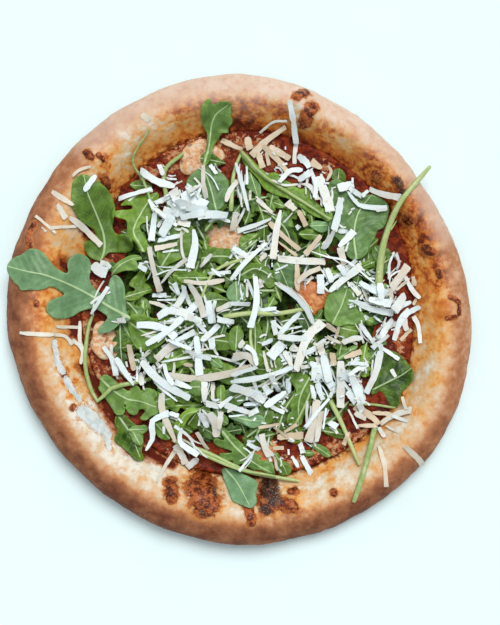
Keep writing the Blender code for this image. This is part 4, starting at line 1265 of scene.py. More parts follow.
def settle(need, rounds):
    """Bridges the hollows under a stiff line."""
    line = need.copy()
    for _ in range(rounds):
        line[1:-1] = np.maximum(line[1:-1], (line[:-2] + line[2:]) / 2)
    return line


def blur_line(line, rounds):
    line = line.copy()
    for _ in range(rounds):
        line[1:-1] = (line[:-2] + 2 * line[1:-1] + line[2:]) / 4
    return line


def blur_in(values, mask, rounds):
    """Blurs a grid of values within a mask only."""
    for _ in range(rounds):
        total, weight = values * mask * 2, mask * 2.0
        for axis in (0, 1):
            for step in (1, -1):
                total = total + np.roll(values * mask, step, axis)
                weight = weight + np.roll(mask, step, axis)
        values = np.where(mask, total / np.maximum(weight, 1), values)
    return values


def lay_leaf(bluish, light, ruffled, outline, midrib, draw, step=0.8):
    """One leaf on the pile: its points, faces, and the values that its finish reads."""
    outline = rounded(outline)
    low, high = outline.min(0) - 2 * step, outline.max(0) + 2 * step
    x, y = np.meshgrid(np.arange(low[0], high[0], step), np.arange(low[1], high[1], step),
                       indexing="ij")
    away = edge_distance(x, y, outline)
    cell = (away[1:, 1:] + away[:-1, 1:] + away[1:, :-1] + away[:-1, :-1]) / 4 < 0
    used = np.zeros(x.shape, int)
    for i in (0, 1):
        for j in (0, 1):
            used[i:i + cell.shape[0], j:j + cell.shape[1]] += cell
    edge = (used > 0) & (used < 4)
    slope_x, slope_y = np.gradient(away, step)
    pull = np.where(edge, np.clip(away, -step, step), 0)
    x, y = x - pull * slope_x, y - pull * slope_y
    mask = used > 0
    midrib = np.array(midrib, float).reshape(-1, 2)
    length = along(midrib, 8)[2]
    places, headings, _ = along(midrib, max(int(length / MIDRIB_STEP), 6))
    offset = np.stack((x, y), -1)[..., None, :] - places
    near = (offset ** 2).sum(-1).argmin(-1)
    mine = np.take_along_axis(offset, near[..., None, None], -2)[..., 0, :]
    side = headings[near]
    across = side[..., 0] * mine[..., 1] - side[..., 1] * mine[..., 0]
    beyond = (near == 0) | (near == len(places) - 1)
    reach = np.where(beyond, np.hypot(mine[..., 0], mine[..., 1]), np.abs(across))
    s = near / (len(places) - 1)
    need = pile.under(x, y, 1)
    line = settle(pile.under(*places.T, 1), 60)
    fall = 0.3 * length / len(places)
    for i in range(1, len(line)):
        line[i] = max(line[i], line[i - 1] - fall)
    line = blur_line(line, 5)
    ends = np.linspace(0, 1, len(line))
    line += 0.3 + draw.uniform(0.2, 1.4) * np.sin(math.pi * ends) * min(length / 50, 1)
    hang = draw.uniform(0.05, 0.3)
    z = line[near] - hang * reach
    z = blur_in(np.maximum(z, need + 0.3), mask, 3)
    wave = np.sin(near * MIDRIB_STEP * draw.uniform(0.45, 0.65) + np.sign(across) * 1.3
                  + draw.uniform(0, 6))
    rim = np.exp(np.clip(away, -20, 0) / 2.6)
    z += ruffled * rim * (RUFFLE_WAVE * wave + RUFFLE_LIFT)
    z += 0.4 * ruffled * np.sin(x * 0.45 + draw.uniform(0, 6)) * np.sin(y * 0.4)
    z = blur_in(np.maximum(z, need + 0.2), mask, 1)
    rib_half = (1 - 0.65 * s) * min(0.45 + length / 90, 1.1)
    rib = np.exp(-(reach / rib_half) ** 2)
    phase = near * MIDRIB_STEP - reach * VEIN_SLANT
    z += 0.2 * np.sin(phase * math.tau / VEIN_SPACING) * (1 - rib)
    thick = LEAF_THICKNESS + (MIDRIB_THICKNESS - LEAF_THICKNESS) * rib * (1 - 0.6 * s)
    thick = np.where(edge, EDGE_THICKNESS, thick)
    index = np.full(x.shape, -1)
    index[mask] = np.arange(mask.sum())
    corners = [index[i:i + cell.shape[0], j:j + cell.shape[1]][cell]
               for i, j in ((0, 0), (1, 0), (1, 1), (0, 1))]
    upper = np.stack(corners, 1)
    count = mask.sum()
    sides = {}
    for a, b in zip(upper.ravel(), np.roll(upper, -1, axis=1).ravel()):
        if (b, a) in sides:
            del sides[b, a]
        else:
            sides[a, b] = None
    flat = [v[mask] for v in (x, y, z, thick)]
    pile.add(flat[0], flat[1], flat[2] + flat[3])
    under = np.column_stack(flat[:3])
    over = np.column_stack((flat[0], flat[1], flat[2] + flat[3]))
    faces = [tuple(f) for f in (upper + count).tolist()]
    faces += [tuple(f[::-1]) for f in upper.tolist()]
    faces += [(int(a), int(b), int(b + count), int(a + count)) for a, b in sides]
    values = {
        "across": across[mask], "along": near[mask] * MIDRIB_STEP,
        "half": np.where(beyond & (reach > MIDRIB_STEP), 0, rib_half)[mask],
        "rim": rim[mask], "bluish": np.full(count, bluish), "light": np.full(count, light),
    }
    return np.vstack((under, over)), faces, {k: np.tile(v, 2) for k, v in values.items()}


# %% [markdown]
# ### Leaves that fill the heap
#
# What lies under the leaves that show can't be read from outside, so those are drawn by a
# seeded random generator. Their outlines come from three tables of half widths along the
# midrib: lobed, oval and frilly. The lobes of a rocket leaf point a little to its tip, which
# is why each half width is also moved forward by a share of itself.

# %% Outlines from tables
LEAF_KINDS = {
    "lobed": (
        (0, .1), (.1, .12), (.14, .5), (.18, .68), (.22, .42), (.27, .13), (.33, .14),
        (.38, .66), (.43, 1), (.48, .86), (.53, .26), (.58, .2), (.64, .42), (.72, .78),
        (.8, .86), (.88, .74), (.95, .42), (1, .05),
    ),
    "oval": (
        (0, .1), (.18, .1), (.32, .16), (.4, .36), (.5, .76), (.62, 1), (.74, 1),
        (.85, .86), (.93, .6), (1, .05),
    ),
    "frilly": (
        (0, .08), (.1, .09), (.15, .6), (.19, .75), (.24, .12), (.31, .9), (.36, 1),
        (.42, .14), (.5, 1), (.56, .95), (.62, .16), (.7, .95), (.76, .8), (.81, .25),
        (.87, .6), (.93, .45), (1, .05),
    ),
}
PATH_STATIONS = 60
FILL_LEAVES = 170
FILL_SEED = 21
FILL_SPREAD, FILL_OVERHANG = 1.04, 10
FILL_HALF_LENGTHS, FILL_HALF_WIDTHS = (11, 20), (3.5, 7)
FILL_BEND = 0.35
# Fill leaves take a low random lightness: partly their own tone, partly painted shade under the
# leaves above.
FILL_BLUISH, FILL_LIGHT_WITH_SHADE, FILL_RUFFLED = 0.6, 0.62, 0.8


def kind_outline(kind, half_width, path, draw):
    """An outline from a table, bent along a path."""
    table = np.array(LEAF_KINDS[kind])
    places, headings, _ = along(path, PATH_STATIONS)
    stations = np.arange(PATH_STATIONS)
    shares = table[:, 0] * (PATH_STATIONS - 1)
    sweep = 0.1 if kind == "oval" else 0.45
    sides = []
    for sign in (1, -1):
        uneven = np.array([draw.uniform(0.85, 1.12) for _ in table])
        width = sign * half_width * table[:, 1] * uneven
        at = np.column_stack([np.interp(shares, stations, places[:, k]) for k in (0, 1)])
        to = np.column_stack([np.interp(shares, stations, headings[:, k]) for k in (0, 1)])
        side = np.column_stack((-to[:, 1], to[:, 0]))
        sides.append(at + side * width[:, None] + to * np.abs(width)[:, None] * sweep)
    return np.vstack((sides[0], sides[1][::-1]))


def fill_leaves(draw):
    """Leaves spread over the core but not over a pool."""
    made = 0
    while made < FILL_LEAVES:
        turn, away = draw.uniform(0, math.tau), math.sqrt(draw.random()) * FILL_SPREAD
        reach = away * float(around_the_clock(CORE_RADII, turn))
        x, y = reach * math.cos(turn), reach * math.sin(turn)
        heading = draw.uniform(0, math.tau)
        half, bend = draw.uniform(*FILL_HALF_LENGTHS), draw.uniform(-FILL_BEND, FILL_BEND)
        dx, dy = half * math.cos(heading), half * math.sin(heading)
        path = ((x - dx, y - dy), (x - dy * bend, y + dx * bend), (x + dx, y + dy))
        spots = [(px + (x - px) * t, py + (y - py) * t)
                 for px, py in (path[0], path[2]) for t in (0, 0.35, 0.7)]
        clear = all(math.hypot(px - cx, py - cy) > radius * 0.8
                    for px, py in spots for cx, cy, radius, _ in POOLS)
        inside = all(
            math.hypot(px, py)
            < around_the_clock(CORE_RADII, math.atan2(py, px)) + FILL_OVERHANG
            for px, py in (path[0], path[2])
        )
        if clear and inside:
            made += 1
            kind = draw.choice(("oval", "frilly", "frilly", "frilly", "lobed"))
            outline = kind_outline(kind, draw.uniform(*FILL_HALF_WIDTHS), path, draw)
            bluish = draw.random() ** 2 * FILL_BLUISH
            # The lightness is drawn low, partly as painted shade.
            yield bluish, draw.uniform(0, FILL_LIGHT_WITH_SHADE), FILL_RUFFLED, outline, path


# %% [markdown]
# ### The finish of the leaves
#
# Rocket is bright green above, with a whitish midrib and fine pale side veins, and a waxy
# bloom; its blue-grey is partly that bloom and partly painted reflection of the cool light. The
# stored distances across and along each leaf draw the veins where they belong, and two more
# values make every leaf its own green, its lightness partly painted shade.

# %% Leaf green
def make_leaf_finish():
    material, tree, shader = new_finish("rocket_leaf", roughness=0.42, specular=0.35)
    # Each leaf's stored lightness is partly its own tone, partly painted shade for leaves in
    # shadow.
    light = calc(tree, "ADD", stored(tree, "light"), calc(
        tree, "MULTIPLY", calc(tree, "SUBTRACT", mottled(tree, 6, 0.3, 0.7), 0.5), 0.28))
    to_rim = calc(tree, "SUBTRACT", stored(tree, "rim"), 0.35)
    light = calc(tree, "ADD", light, calc(tree, "MULTIPLY", to_rim, 0.25))
    green = blend(tree, light, paint(24, 54, 4), paint(134, 174, 54))
    # Blue-grey mist: partly the leaf's bloom, partly painted reflection of the cool light.
    misty_bloom_and_reflection = blend(tree, light, paint(44, 78, 40), paint(124, 164, 124))
    colour = blend(tree, stored(tree, "bluish"), green, misty_bloom_and_reflection)
    sheen = calc(tree, "MULTIPLY", mottled(tree, 8, 0.52, 0.66, 0.6), 0.12)
    colour = blend(tree, sheen, colour, paint(136, 184, 132))
    away = calc(tree, "ABSOLUTE", stored(tree, "across"))
    phase = calc(tree, "SUBTRACT", stored(tree, "along"), calc(
        tree, "MULTIPLY", away, VEIN_SLANT))
    stripe = calc(tree, "PINGPONG", phase, VEIN_SPACING / 2)
    side_veins = calc(tree, "MULTIPLY", fade(tree, stripe, 0.45, 0.1), 0.18)
    colour = blend(tree, side_veins, colour, paint(156, 194, 96))
    edge = calc(tree, "MULTIPLY", fade(tree, stored(tree, "rim"), 0.8, 1.0), 0.25)
    colour = blend(tree, edge, colour, paint(150, 192, 76))
    shown = calc(tree, "DIVIDE", away, calc(tree, "ADD", stored(tree, "half"), 0.01))
    midrib = calc(tree, "MULTIPLY", fade(tree, shown, 0.9, 0.5), 0.8)
    colour = blend(tree, midrib, colour, paint(192, 216, 164))
    tree.links.new(colour, shader.inputs["Base Color"])
    tree.links.new(relief(tree, 2.4, 0.3, 0.8, 0.08), shader.inputs["Normal"])
    shader.inputs["Subsurface Weight"].default_value = 0.08
    shader.inputs["Subsurface Radius"].default_value = (0.0006, 0.001, 0.0003)
    return material


def join_leaves(name, leaves, material):
    """One mesh from many leaves."""
    points, faces, values, start = [], [], {}, 0
    for leaf_points, leaf_faces, leaf_values in leaves:
        points.append(leaf_points)
        faces += [tuple(start + i for i in face) for face in leaf_faces]
        for key, numbers in leaf_values.items():
            values.setdefault(key, []).append(numbers)
        start += len(leaf_points)
    piece = new_piece(name, np.vstack(points), faces, material)
    keep_values(piece.data, **{key: np.concatenate(v) for key, v in values.items()})
    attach(piece, "root")
    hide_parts("rocket_and_shavings")
    print(name, len(leaves), "leaves,", len(piece.data.polygons), "faces")


leaf_green = make_leaf_finish()
draw = random.Random(FILL_SEED)
filling = [lay_leaf(*row, draw, step=1.0) for row in fill_leaves(draw)]
join_leaves("rocket_leaves_under", filling, leaf_green)
showing = [lay_leaf(*row, draw) for row in LEAVES]
join_leaves("rocket_leaves", showing, leaf_green)
print("highest of the pile, mm:", pile.top[on_sauce].max().round(1))

# %% [markdown]
# ## Stalks
#
# Some stalks run free over the heap and the rim. They are round and taper, so a path with a
# width at each point is enough, and the tree `swept_stem` draws the round section. One has
# small side shoots, which are short paths of their own.

# %% Stems
STEMS = (
    (2.4, 1.0, .3, (-50, 50, -60, 78, -67, 92, -56, 110)),
    (3.2, 2.6, .7, (-42, 54, -48, 84, -36, 97)),
    (3.0, 1.8, .7, (-6, 60, -4, 84, 1, 99)),
    (5.2, 2.9, .75, (86, -2, 86, 16, 89, 40, 97, 62, 105, 73, 118, 88)),
    (1.4, 0.6, .5, (93, 48, 97, 54)),
    (1.4, 0.6, .5, (89, 28, 97, 33)),
    (3.4, 2.0, .9, (56, -58, 64, -74, 73, -97)),
    (3.6, 3.2, .45, (84, -73, 78, -92, 69, -119)),
    (3.2, 2.2, .8, (-40, -84, -20, -90, 4, -101, 36, -107)),
    (2.6, 1.6, .6, (-42, -82, -20, -92, 0, -100, 22, -104)),
    (3.0, 2.4, .55, (-56, -44, -80, -50, -88, -58, -96, -38, -95, -14, -92, -4)),
    (3.4, 2.6, .9, (-10, -6, 4, -4, 22, -4, 44, 0)),
    (2.4, 1.6, .8, (2, 30, -10, 26, -18, 20, -24, 6)),
    (1.6, 2.4, .65, (56, 55, 42, 64, 22, 77, 11, 86, 0, 98.5)),
    (2.2, 1.4, .8, (8, -30, 6, -18, 8, -2)),
    (2.0, 1.4, .6, (68, -60, 82, -60, 96, -62)),
    (1.8, 1.2, .8, (34, -72, 40, -60, 44, -50)),
)
STEM_POINTS = 16


def make_stem_finish():
    material, tree, shader = new_finish("rocket_stem", roughness=0.4, specular=0.5)
    green = blend(tree, stored(tree, "light"), paint(96, 146, 60), paint(182, 200, 130))
    colour = blend(tree, calc(tree, "MULTIPLY", mottled(tree, 3, 0.4, 0.65), 0.4), green,
                   paint(206, 208, 160))
    tree.links.new(colour, shader.inputs["Base Color"])
    tree.links.new(relief(tree, 3, 0.25, 0.8, 0.06), shader.inputs["Normal"])
    return material


def paths_piece(name, paths):
    """A mesh of edges: each path is its points, and the values stored on them."""
    points, edges, values, start = [], [], {}, 0
    for path, numbers in paths:
        points.append(path)
        edges += [(start + i, start + i + 1) for i in range(len(path) - 1)]
        for key, value in numbers.items():
            values.setdefault(key, []).append(np.broadcast_to(value, len(path)))
        start += len(path)
    points = np.vstack(points)
    points[:, :2] += SHIFT
    mesh = bpy.data.meshes.new(name)
    mesh.from_pydata((points * MM).tolist(), edges, [])
    keep_values(mesh, **{key: np.concatenate(v) for key, v in values.items()})
    piece = bpy.data.objects.new(name, mesh)
    bpy.context.scene.collection.objects.link(piece)
    return piece


def lay_stem(thick, thin, light, points):
    """One stalk on the pile, from its thick end to its thin one, with its values."""
    path, _, length = along(np.array(points, float).reshape(-1, 2), STEM_POINTS)
    x, y = path.T
    need = pile.under(x, y, 1)
    line = settle(need, 12)
    for i in range(1, STEM_POINTS):
        line[i] = max(line[i], line[i - 1] - 0.35 * length / STEM_POINTS)
    line = blur_line(line, 2)
    wide = np.linspace(thick, thin, STEM_POINTS)
    z = line + wide * 0.5
    z[0] -= 2
    fine = np.linspace(0, STEM_POINTS - 1, 4 * STEM_POINTS)
    places = [np.interp(fine, np.arange(STEM_POINTS), v) for v in (x, y, z + wide * 0.5)]
    pile.add(*places)
    wide[0] *= 0.8
    wide[-1] *= 0.75
    return np.column_stack((x, y, z)), {"wide": wide * MM, "lean": 0.0, "light": light}


def finish_swept(piece, name):
    piece.data.shade_smooth()
    piece.data.set_sharp_from_angle(angle=math.radians(45))
    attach(piece, "root")
    print(name, len(piece.data.polygons), "faces")


stem_green = make_stem_finish()
stems = paths_piece("rocket_stems", [lay_stem(*row) for row in STEMS])
grow(stems, SWEPT_STEM, Ragged_size=0.006, Ragged_depth=0.0005, Seed=2.0, Material=stem_green)
finish_swept(stems, "stems")
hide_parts("rocket_and_shavings")

# %% [markdown]
# ## The shaved cheese
#
# Hard cheese comes off a coarse grater in flat strips, most 2 to 7 mm wide, that curl a little
# and end torn. Those whose place shows are listed as width, x, y, x, y and so on, in three
# colours: white with a painted cool cast of the light on top, cream, and tan where they lie
# warm on the sauce, the tan partly painted shade. Each strip is laid on the pile as a nearly
# stiff line that sags a little, leans with what is under it, and is then drawn by
# `swept_strip`. Seeded splinters, narrower, lie beside the listed ones.

# %% Places of the strips
TAN_STRIPS = (
    (4.1, -12, 106, 1, 99), (5.1, 7, 96, 16, 105, 28, 113), (4.7, 4, 108, 6, 100),
    (4.7, 14, 102, 22, 95, 29, 86), (4.1, 18, 102, 24, 98, 31, 94), (4.1, 11, 98, 14, 88),
    (3, 16, 98, 18, 90), (5.4, 44, 92, 51, 88), (2, 55, 90, 57, 86, 54, 80),
    (3.4, 36, 61, 41, 51), (3.4, 18, 53, 26, 45, 37, 36), (4.1, 40, 33, 46, 40, 50, 45),
    (2, 23, 42, 35, 32), (4.7, 35, 29, 35, 20, 35, 10), (3.6, 108, 20, 109, 14),
    (2.4, 110, 6, 108, 2), (2.4, 107, -13, 100, -20), (4.1, 53, -10, 60, -15),
    (2, 61, -12, 58, -23), (4.1, 64, -31, 75, -27), (4.1, 57, -28, 58, -36),
    (4.1, -69, -23, -66, -39), (2.4, -35, -35, -29, -36), (5.4, 71, -61, 81, -67, 86, -72),
    (2.7, 73, -73, 85, -73), (3.4, 82, -65, 94, -66), (5.4, 23, -80, 39, -79),
    (2, 21, -74, 29, -80), (2, 11, -74, 24, -72), (2.4, 27, -77, 35, -72),
    (2.7, 20, -87, 27, -87), (2.7, 64, -85, 67, -77),
)
CREAM_STRIPS = (
    (4.1, -23, 88, -23, 77, -21, 67), (3.4, -2, 79, -7, 71, -9, 65), (4.1, -39, 52, -31, 51),
    (3.7, -53, 36, -39, 39), (4.1, -56, 37, -54, 25, -50, 10), (4.1, -3, 59, -5, 48),
    (3.4, 35, 104, 34, 96, 34, 91), (1.7, 12, 110, 20, 116, 29, 116),
    (3.7, 39, 78, 44, 75, 48, 67), (4.7, 81, 75, 89, 71, 99, 68), (4.7, 62, 38, 65, 27),
    (5.4, 29, 66, 34, 61), (2.4, 10, 67, 20, 59), (2, 6, 73, 6, 67),
    (4.7, 25, 61, 22, 46, 20, 30), (4.4, 23, 30, 37, 29, 53, 29), (3.4, 12, 29, 16, 34),
    (2.4, 4, 15, 4, 6), (4.1, 35, 15, 41, 21, 50, 25), (2, 41, 15, 45, 20), (3.4, 68, 16, 74, 8),
    (2.7, 75, 15, 79, 4), (5.4, 105, 27, 100, 20, 94, 12), (3, 93, 12, 95, 3),
    (3.6, 103, 20, 107, 12, 112, 6), (2.4, 104, 17, 97, 11), (3.3, 108, -5, 111, -11, 112, -22),
    (4.8, 102, -7, 104, -14), (3.4, 63, -22, 70, -19, 76, -19), (6.8, 51, -9, 41, -19, 34, -39),
    (2.7, 54, -18, 62, -22), (4.1, 27, -27, 31, -36), (5.4, 31, -24, 35, -27),
    (6.1, -5, -31, 4, -30, 10, -36), (2.7, 14, -27, 17, -40), (4.7, 49, -23, 51, -29),
    (2.7, 37, -37, 44, -36), (5.1, 62, -33, 62, -46, 62, -62), (3.4, 94, -38, 97, -43),
    (3.4, -1, -25, 2, -21), (3.4, 11, 17, 13, 12), (3, -49, 15, -43, 22, -33, 30),
    (3.4, -25, 25, -18, 33), (3.7, -35, 16, -23, 15, -10, 17), (5.4, -32, 15, -26, 5, -22, -6),
    (2.7, -57, 4, -50, 2, -43, -2), (5.4, -52, -32, -43, -24, -35, -20), (3.4, -15, -2, -4, 3),
    (2, -62, -32, -56, -28), (4.1, -62, -40, -61, -48),
    (4.7, -44, -42, -28, -44, -12, -42, 7, -37), (3.4, -52, -34, -49, -38),
    (4.1, -22, -46, -22, -58), (3, -17, -46, -17, -57),
    (4.1, -49, -53, -48, -64, -44, -74, -40, -83), (4.7, -40, -85, -36, -92, -34, -97),
    (3, -27, -77, -23, -84, -20, -88), (5.4, -19, -65, -15, -72, -15, -80),
    (3.4, -12, -64, -13, -75), (4.1, 13, -78, 15, -86, 18, -92), (5.4, 47, -57, 46, -69, 42, -83),
    (5.4, 50, -64, 47, -83), (1.7, 67, -63, 73, -75), (4.1, 71, -65, 78, -69),
    (4.7, 87, -72, 94, -67, 105, -63), (2.4, 100, -55, 102, -63), (2, 94, -67, 103, -70),
    (2.7, 86, -74, 89, -80), (1.7, 90, -73, 97, -77), (2, 21, -92, 23, -101),
)
WHITE_STRIPS = (
    (8, -45, 66, -36, 62), (9, -41, 59, -30, 64), (7, -35, 71, -28, 60), (8, -30, 67, -21, 62),
    (6, -48, 60, -38, 57), (7, 80, 12, 90, 8), (6, 62, -40, 70, -46), (6, 66, -52, 72, -58),
    (3.8, -96, 71, -89, 81), (3, -76, 68, -66, 71, -55, 74), (5.7, -62, 85, -52, 79, -41, 76),
    (3, -51, 90, -48, 83), (2, -46, 81, -40, 81), (4.1, -33, 75, -29, 69),
    (3.4, -27, 75, -30, 70), (2.4, -19, 89, -15, 83), (4.7, -53, 65, -43, 69),
    (7.4, -42, 73, -40, 68, -39, 63), (7.4, -39, 65, -30, 61, -21, 59), (5.4, -37, 55, -22, 58),
    (6.1, -26, 56, -17, 57, -8, 57), (3.4, -57, 67, -51, 59, -40, 52), (3.7, -53, 61, -39, 50),
    (4.7, -53, 58, -55, 41), (6.1, -42, 56, -49, 44), (4.1, -51, 41, -37, 44),
    (5.7, -29, 48, -28, 39, -31, 24), (4.1, -5, 37, 5, 31), (4.1, -2, 48, 8, 51, 19, 55),
    (3.7, 30, 127, 33, 115, 35, 103), (5.4, 36, 96, 41, 92, 43, 88),
    (4.1, 24, 78, 31, 86, 39, 87), (4.7, 36, 80, 44, 85), (4.1, -3, 90, 1, 76, 5, 60),
    (2, 4, 89, 4, 77), (6.4, 49, 83, 53, 71, 56, 60), (3, 44, 87, 47, 76, 46, 68),
    (5.4, 61, 75, 71, 78), (3.4, 68, 75, 76, 70), (3, 76, 70, 80, 74),
    (3.4, 67, 73, 74, 65, 84, 63, 92, 63), (2, 85, 61, 92, 62), (5.1, 63, 69, 61, 59, 58, 48),
    (4.1, 58, 48, 55, 41, 51, 37), (5.1, 71, 48, 65, 42, 61, 38), (2.7, 61, 48, 67, 48),
    (3, 35, 52, 37, 50), (3.7, -6, 17, 3, 28, 16, 40), (1.7, 44, 35, 57, 31, 66, 29, 83, 15),
    (4.7, 9, 19, 10, 4, 6, -13), (2.7, -6, 2, 0, 2, 6, 2), (4.1, 21, 15, 32, 8, 40, 0, 45, -10),
    (3.4, 12, -2, 22, -1), (3.4, 37, -3, 30, -10, 23, -18), (4.7, 50, 21, 50, 9),
    (4.1, 54, 25, 57, 16), (5.4, 55, 10, 62, 16, 75, 26), (4.7, 62, 27, 65, 20),
    (4.1, 70, 4, 82, -1, 95, -3), (4.7, 74, 16, 84, 9), (5.4, 86, 15, 87, 4), (5.4, 79, 5, 93, 2),
    (2.1, 96, 35, 93, 28, 93, 18), (2.7, 97, 34, 99, 29, 98, 24), (1.3, 100, 24, 94, 20, 93, 14),
    (6, 103, 9, 99, 3, 95, -2), (3.6, 105, -3, 112, 1), (4.8, 106, -1, 100, -8, 96, -20),
    (4.8, 95, -7, 91, -12, 87, -19), (1.5, 83, -5, 87, -8), (3, 74, -10, 84, -23),
    (2.7, 99, -32, 84, -22), (3.4, 92, -17, 82, -25), (3.4, 87, -23, 88, -31),
    (6.8, 26, -22, 18, -31), (3.4, 20, -8, 22, -17), (3.4, 13, -23, 20, -20),
    (4.1, 23, -18, 32, -19, 41, -19), (3, 3, -24, 8, -28, 10, -36), (3.4, -6, -42, 10, -37),
    (4.1, -6, -46, 8, -44, 21, -41, 32, -37), (3, 18, -42, 24, -52), (3, 30, -52, 21, -58),
    (2.7, 29, -44, 29, -52), (5.4, -6, -49, 8, -53, 16, -56), (2, 8, -46, 11, -53),
    (5.4, 14, -48, 18, -53), (5.4, 43, -34, 50, -39, 57, -49), (5.4, 51, -29, 55, -46),
    (4.7, 43, -40, 50, -44), (4.1, 46, -37, 45, -45), (5.4, 68, -42, 72, -50, 75, -60),
    (4.7, 87, -27, 84, -40, 78, -53), (3.7, 66, -42, 74, -37, 79, -35), (3.4, 68, -34, 78, -35),
    (2.7, 44, -48, 45, -56), (2.7, 48, -46, 51, -57), (7.4, -92, 27, -87, 23, -83, 22),
    (3.4, -63, 26, -58, 23), (2.4, -20, 21, -6, 22), (2, -18, 24, -12, 19),
    (3.4, -41, 15, -38, 8), (3.4, -55, 8, -46, 8), (1.7, -52, 5, -40, 5),
    (5.1, -35, 13, -35, 8, -40, 0), (5.4, -51, -6, -44, -2, -34, -4, -32, -8),
    (4.7, -64, -11, -55, -11, -45, -14, -40, -19), (4.1, -32, -6, -24, -9),
    (2.7, -28, -8, -21, -16), (4.1, -58, -23, -45, -15, -35, -6, -27, 2),
    (4.1, -40, -21, -28, -15), (2.4, -45, -20, -30, -26), (5.4, -27, -18, -26, -29, -25, -42),
    (4.7, -18, -19, -17, -26), (4.1, -24, -21, -13, -11), (4.7, -20, 4, -18, -10),
    (3.4, -14, -8, -4, -9), (3.4, -34, -27, -18, -32), (4.1, -85, -24, -79, -33, -77, -42),
    (4.7, -77, -31, -72, -39, -66, -48), (6.1, -61, -33, -53, -42, -44, -49, -31, -56),
    (4.1, -93, -4, -87, 5, -82, 13), (4.1, -76, -8, -71, -8), (1.7, -64, -36, -64, -46),
    (3.7, -47, -35, -45, -42, -41, -48), (4.1, -40, -46, -30, -50),
    (4.4, -44, -65, -54, -70, -54, -80, -58, -88), (3.4, -38, -67, -44, -65),
    (4.1, -36, -74, -37, -83, -26, -91), (4.1, -33, -99, -26, -93), (3.7, -25, -65, -20, -74),
    (4.1, -21, -59, -13, -61), (3.4, -13, -61, -5, -55), (4.1, -9, -60, 6, -65),
    (3.4, 5, -66, 11, -63), (2.7, 2, -60, 13, -59), (3.4, 4, -84, 12, -88), (2, -1, -101, 8, -90),
    (4.7, 7, -53, 15, -58), (4.7, 15, -61, 28, -52), (2.7, 19, -61, 27, -65),
    (2.7, 30, -46, 30, -53), (2.7, 44, -49, 46, -57), (3.4, 47, -47, 51, -57),
    (2.7, 55, -56, 47, -65, 40, -74), (1.7, 53, -62, 51, -75), (5.4, 55, -71, 60, -74),
    (4.1, 73, -59, 76, -64), (3.4, 37, -84, 39, -90), (2.7, 32, -92, 36, -99),
    (4.1, 38, -92, 44, -103),
)
RIM_STRIPS = (
    (2.2, -113, -12, -107, -12, -101, -12), (2.5, -100, -8, -100, -20, -98, -26),
    (2.8, -104, -20, -98, -26, -99, -35), (2.8, -135, -16, -121, -17, -114, -17),
    (2.2, -114, -17, -108, -18, -104, -23), (2.9, -103, 80, -99, 84, -92, 86),
    (4.3, -116, 71, -110, 67, -102, 62), (3.8, -112, 63, -110, 59, -107, 54),
    (1.9, -126, 56, -121, 52, -113, 45), (1.4, -122, 49, -119, 46),
    (2.4, -116, 48, -110, 49, -101, 50), (4.1, -105, 55, -98, 50, -87, 39),
    (3, -40, -88, -46, -97, -51, -107), (3, 85, -85, 88, -97, 89, -110),
    (3.7, 100, -85, 109, -93, 112, -97), (4.7, -61, 119, -56, 115),
)
# Where a strip's points lie along it: close together at its ends, so that they end square.
STATIONS = np.array((0, 0.03, 0.12, 0.25, 0.38, 0.5, 0.62, 0.75, 0.88, 0.97, 1))
STRIP_THICKNESS = 0.12
STRIP_SEED = 5
SAG = 0.4
RIM_STIFFNESS = 0.4
TONE_SPREAD = 0.15
SPLINTER_REACH, SPLINTER_DRIFT = 104, 4

# %% [markdown]
# ### Laying a strip
#
# A strip reads the pile under its middle and under both its edges. It starts as a straight
# line that clears the highest of them, and sags part of the way to the rest. How wide it is
# along its length, how it twists and how its ends are torn come from seeded draws.

# %% From a row of the tables to a strip
def lay_strip(width, points, tone, draw, stiffness=1.0):
    """One strip on the pile, with its values."""
    path, headings, length = along(np.array(points, float).reshape(-1, 2), 49)
    at = (STATIONS * 48).round().astype(int)
    path, headings = path[at], headings[at]
    side = np.column_stack((-headings[:, 1], headings[:, 0]))
    edges = [path + side * width * k for k in (-0.4, 0, 0.4)]
    left, middle, right = (pile.under(*e.T, 0) for e in edges)
    need = np.maximum(np.maximum(left, right), middle)
    ends = need[0] + (need[-1] - need[0]) * STATIONS
    straight = ends + max(0, (need - ends).max())
    line = blur_line(need + (straight - need) * (1 - SAG) * stiffness, 2)
    lean = float(np.clip((right - left).mean() / width, -0.6, 0.6)) * 0.7
    lean += draw.uniform(-0.25, 0.25)
    twist = (2 * STATIONS - 1) * draw.uniform(-0.35, 0.35)
    wide = np.array([width * draw.uniform(0.86, 1.1) for _ in STATIONS])
    wide *= np.linspace(*draw.choice(((1, 0.6), (0.6, 1), (1, 0.9), (0.9, 1))), len(wide))
    for end in (wide, wide[::-1]):
        if draw.random() < 0.3:
            end[:3] *= (draw.uniform(0.2, 0.5), 0.6, 0.85)
        else:
            end[0] *= draw.uniform(0.6, 0.95)
    thick = STRIP_THICKNESS * width
    curl = draw.uniform(-0.2, 0.9) * min(length / 25, 1)
    z = line + thick * 0.5 + 0.12 + 0.12 * width * abs(lean)
    z += curl * (2 * STATIONS - 1) ** 2
    fine = np.linspace(0, 1, 60)
    for edge in edges:
        x, y, tops = (np.interp(fine, STATIONS, v) for v in (*edge.T, z))
        pile.add(x, y, tops + thick * 0.5)
    values = {"wide": wide * MM, "lean": lean + twist, "tone": tone}
    return np.column_stack((path, z)), values


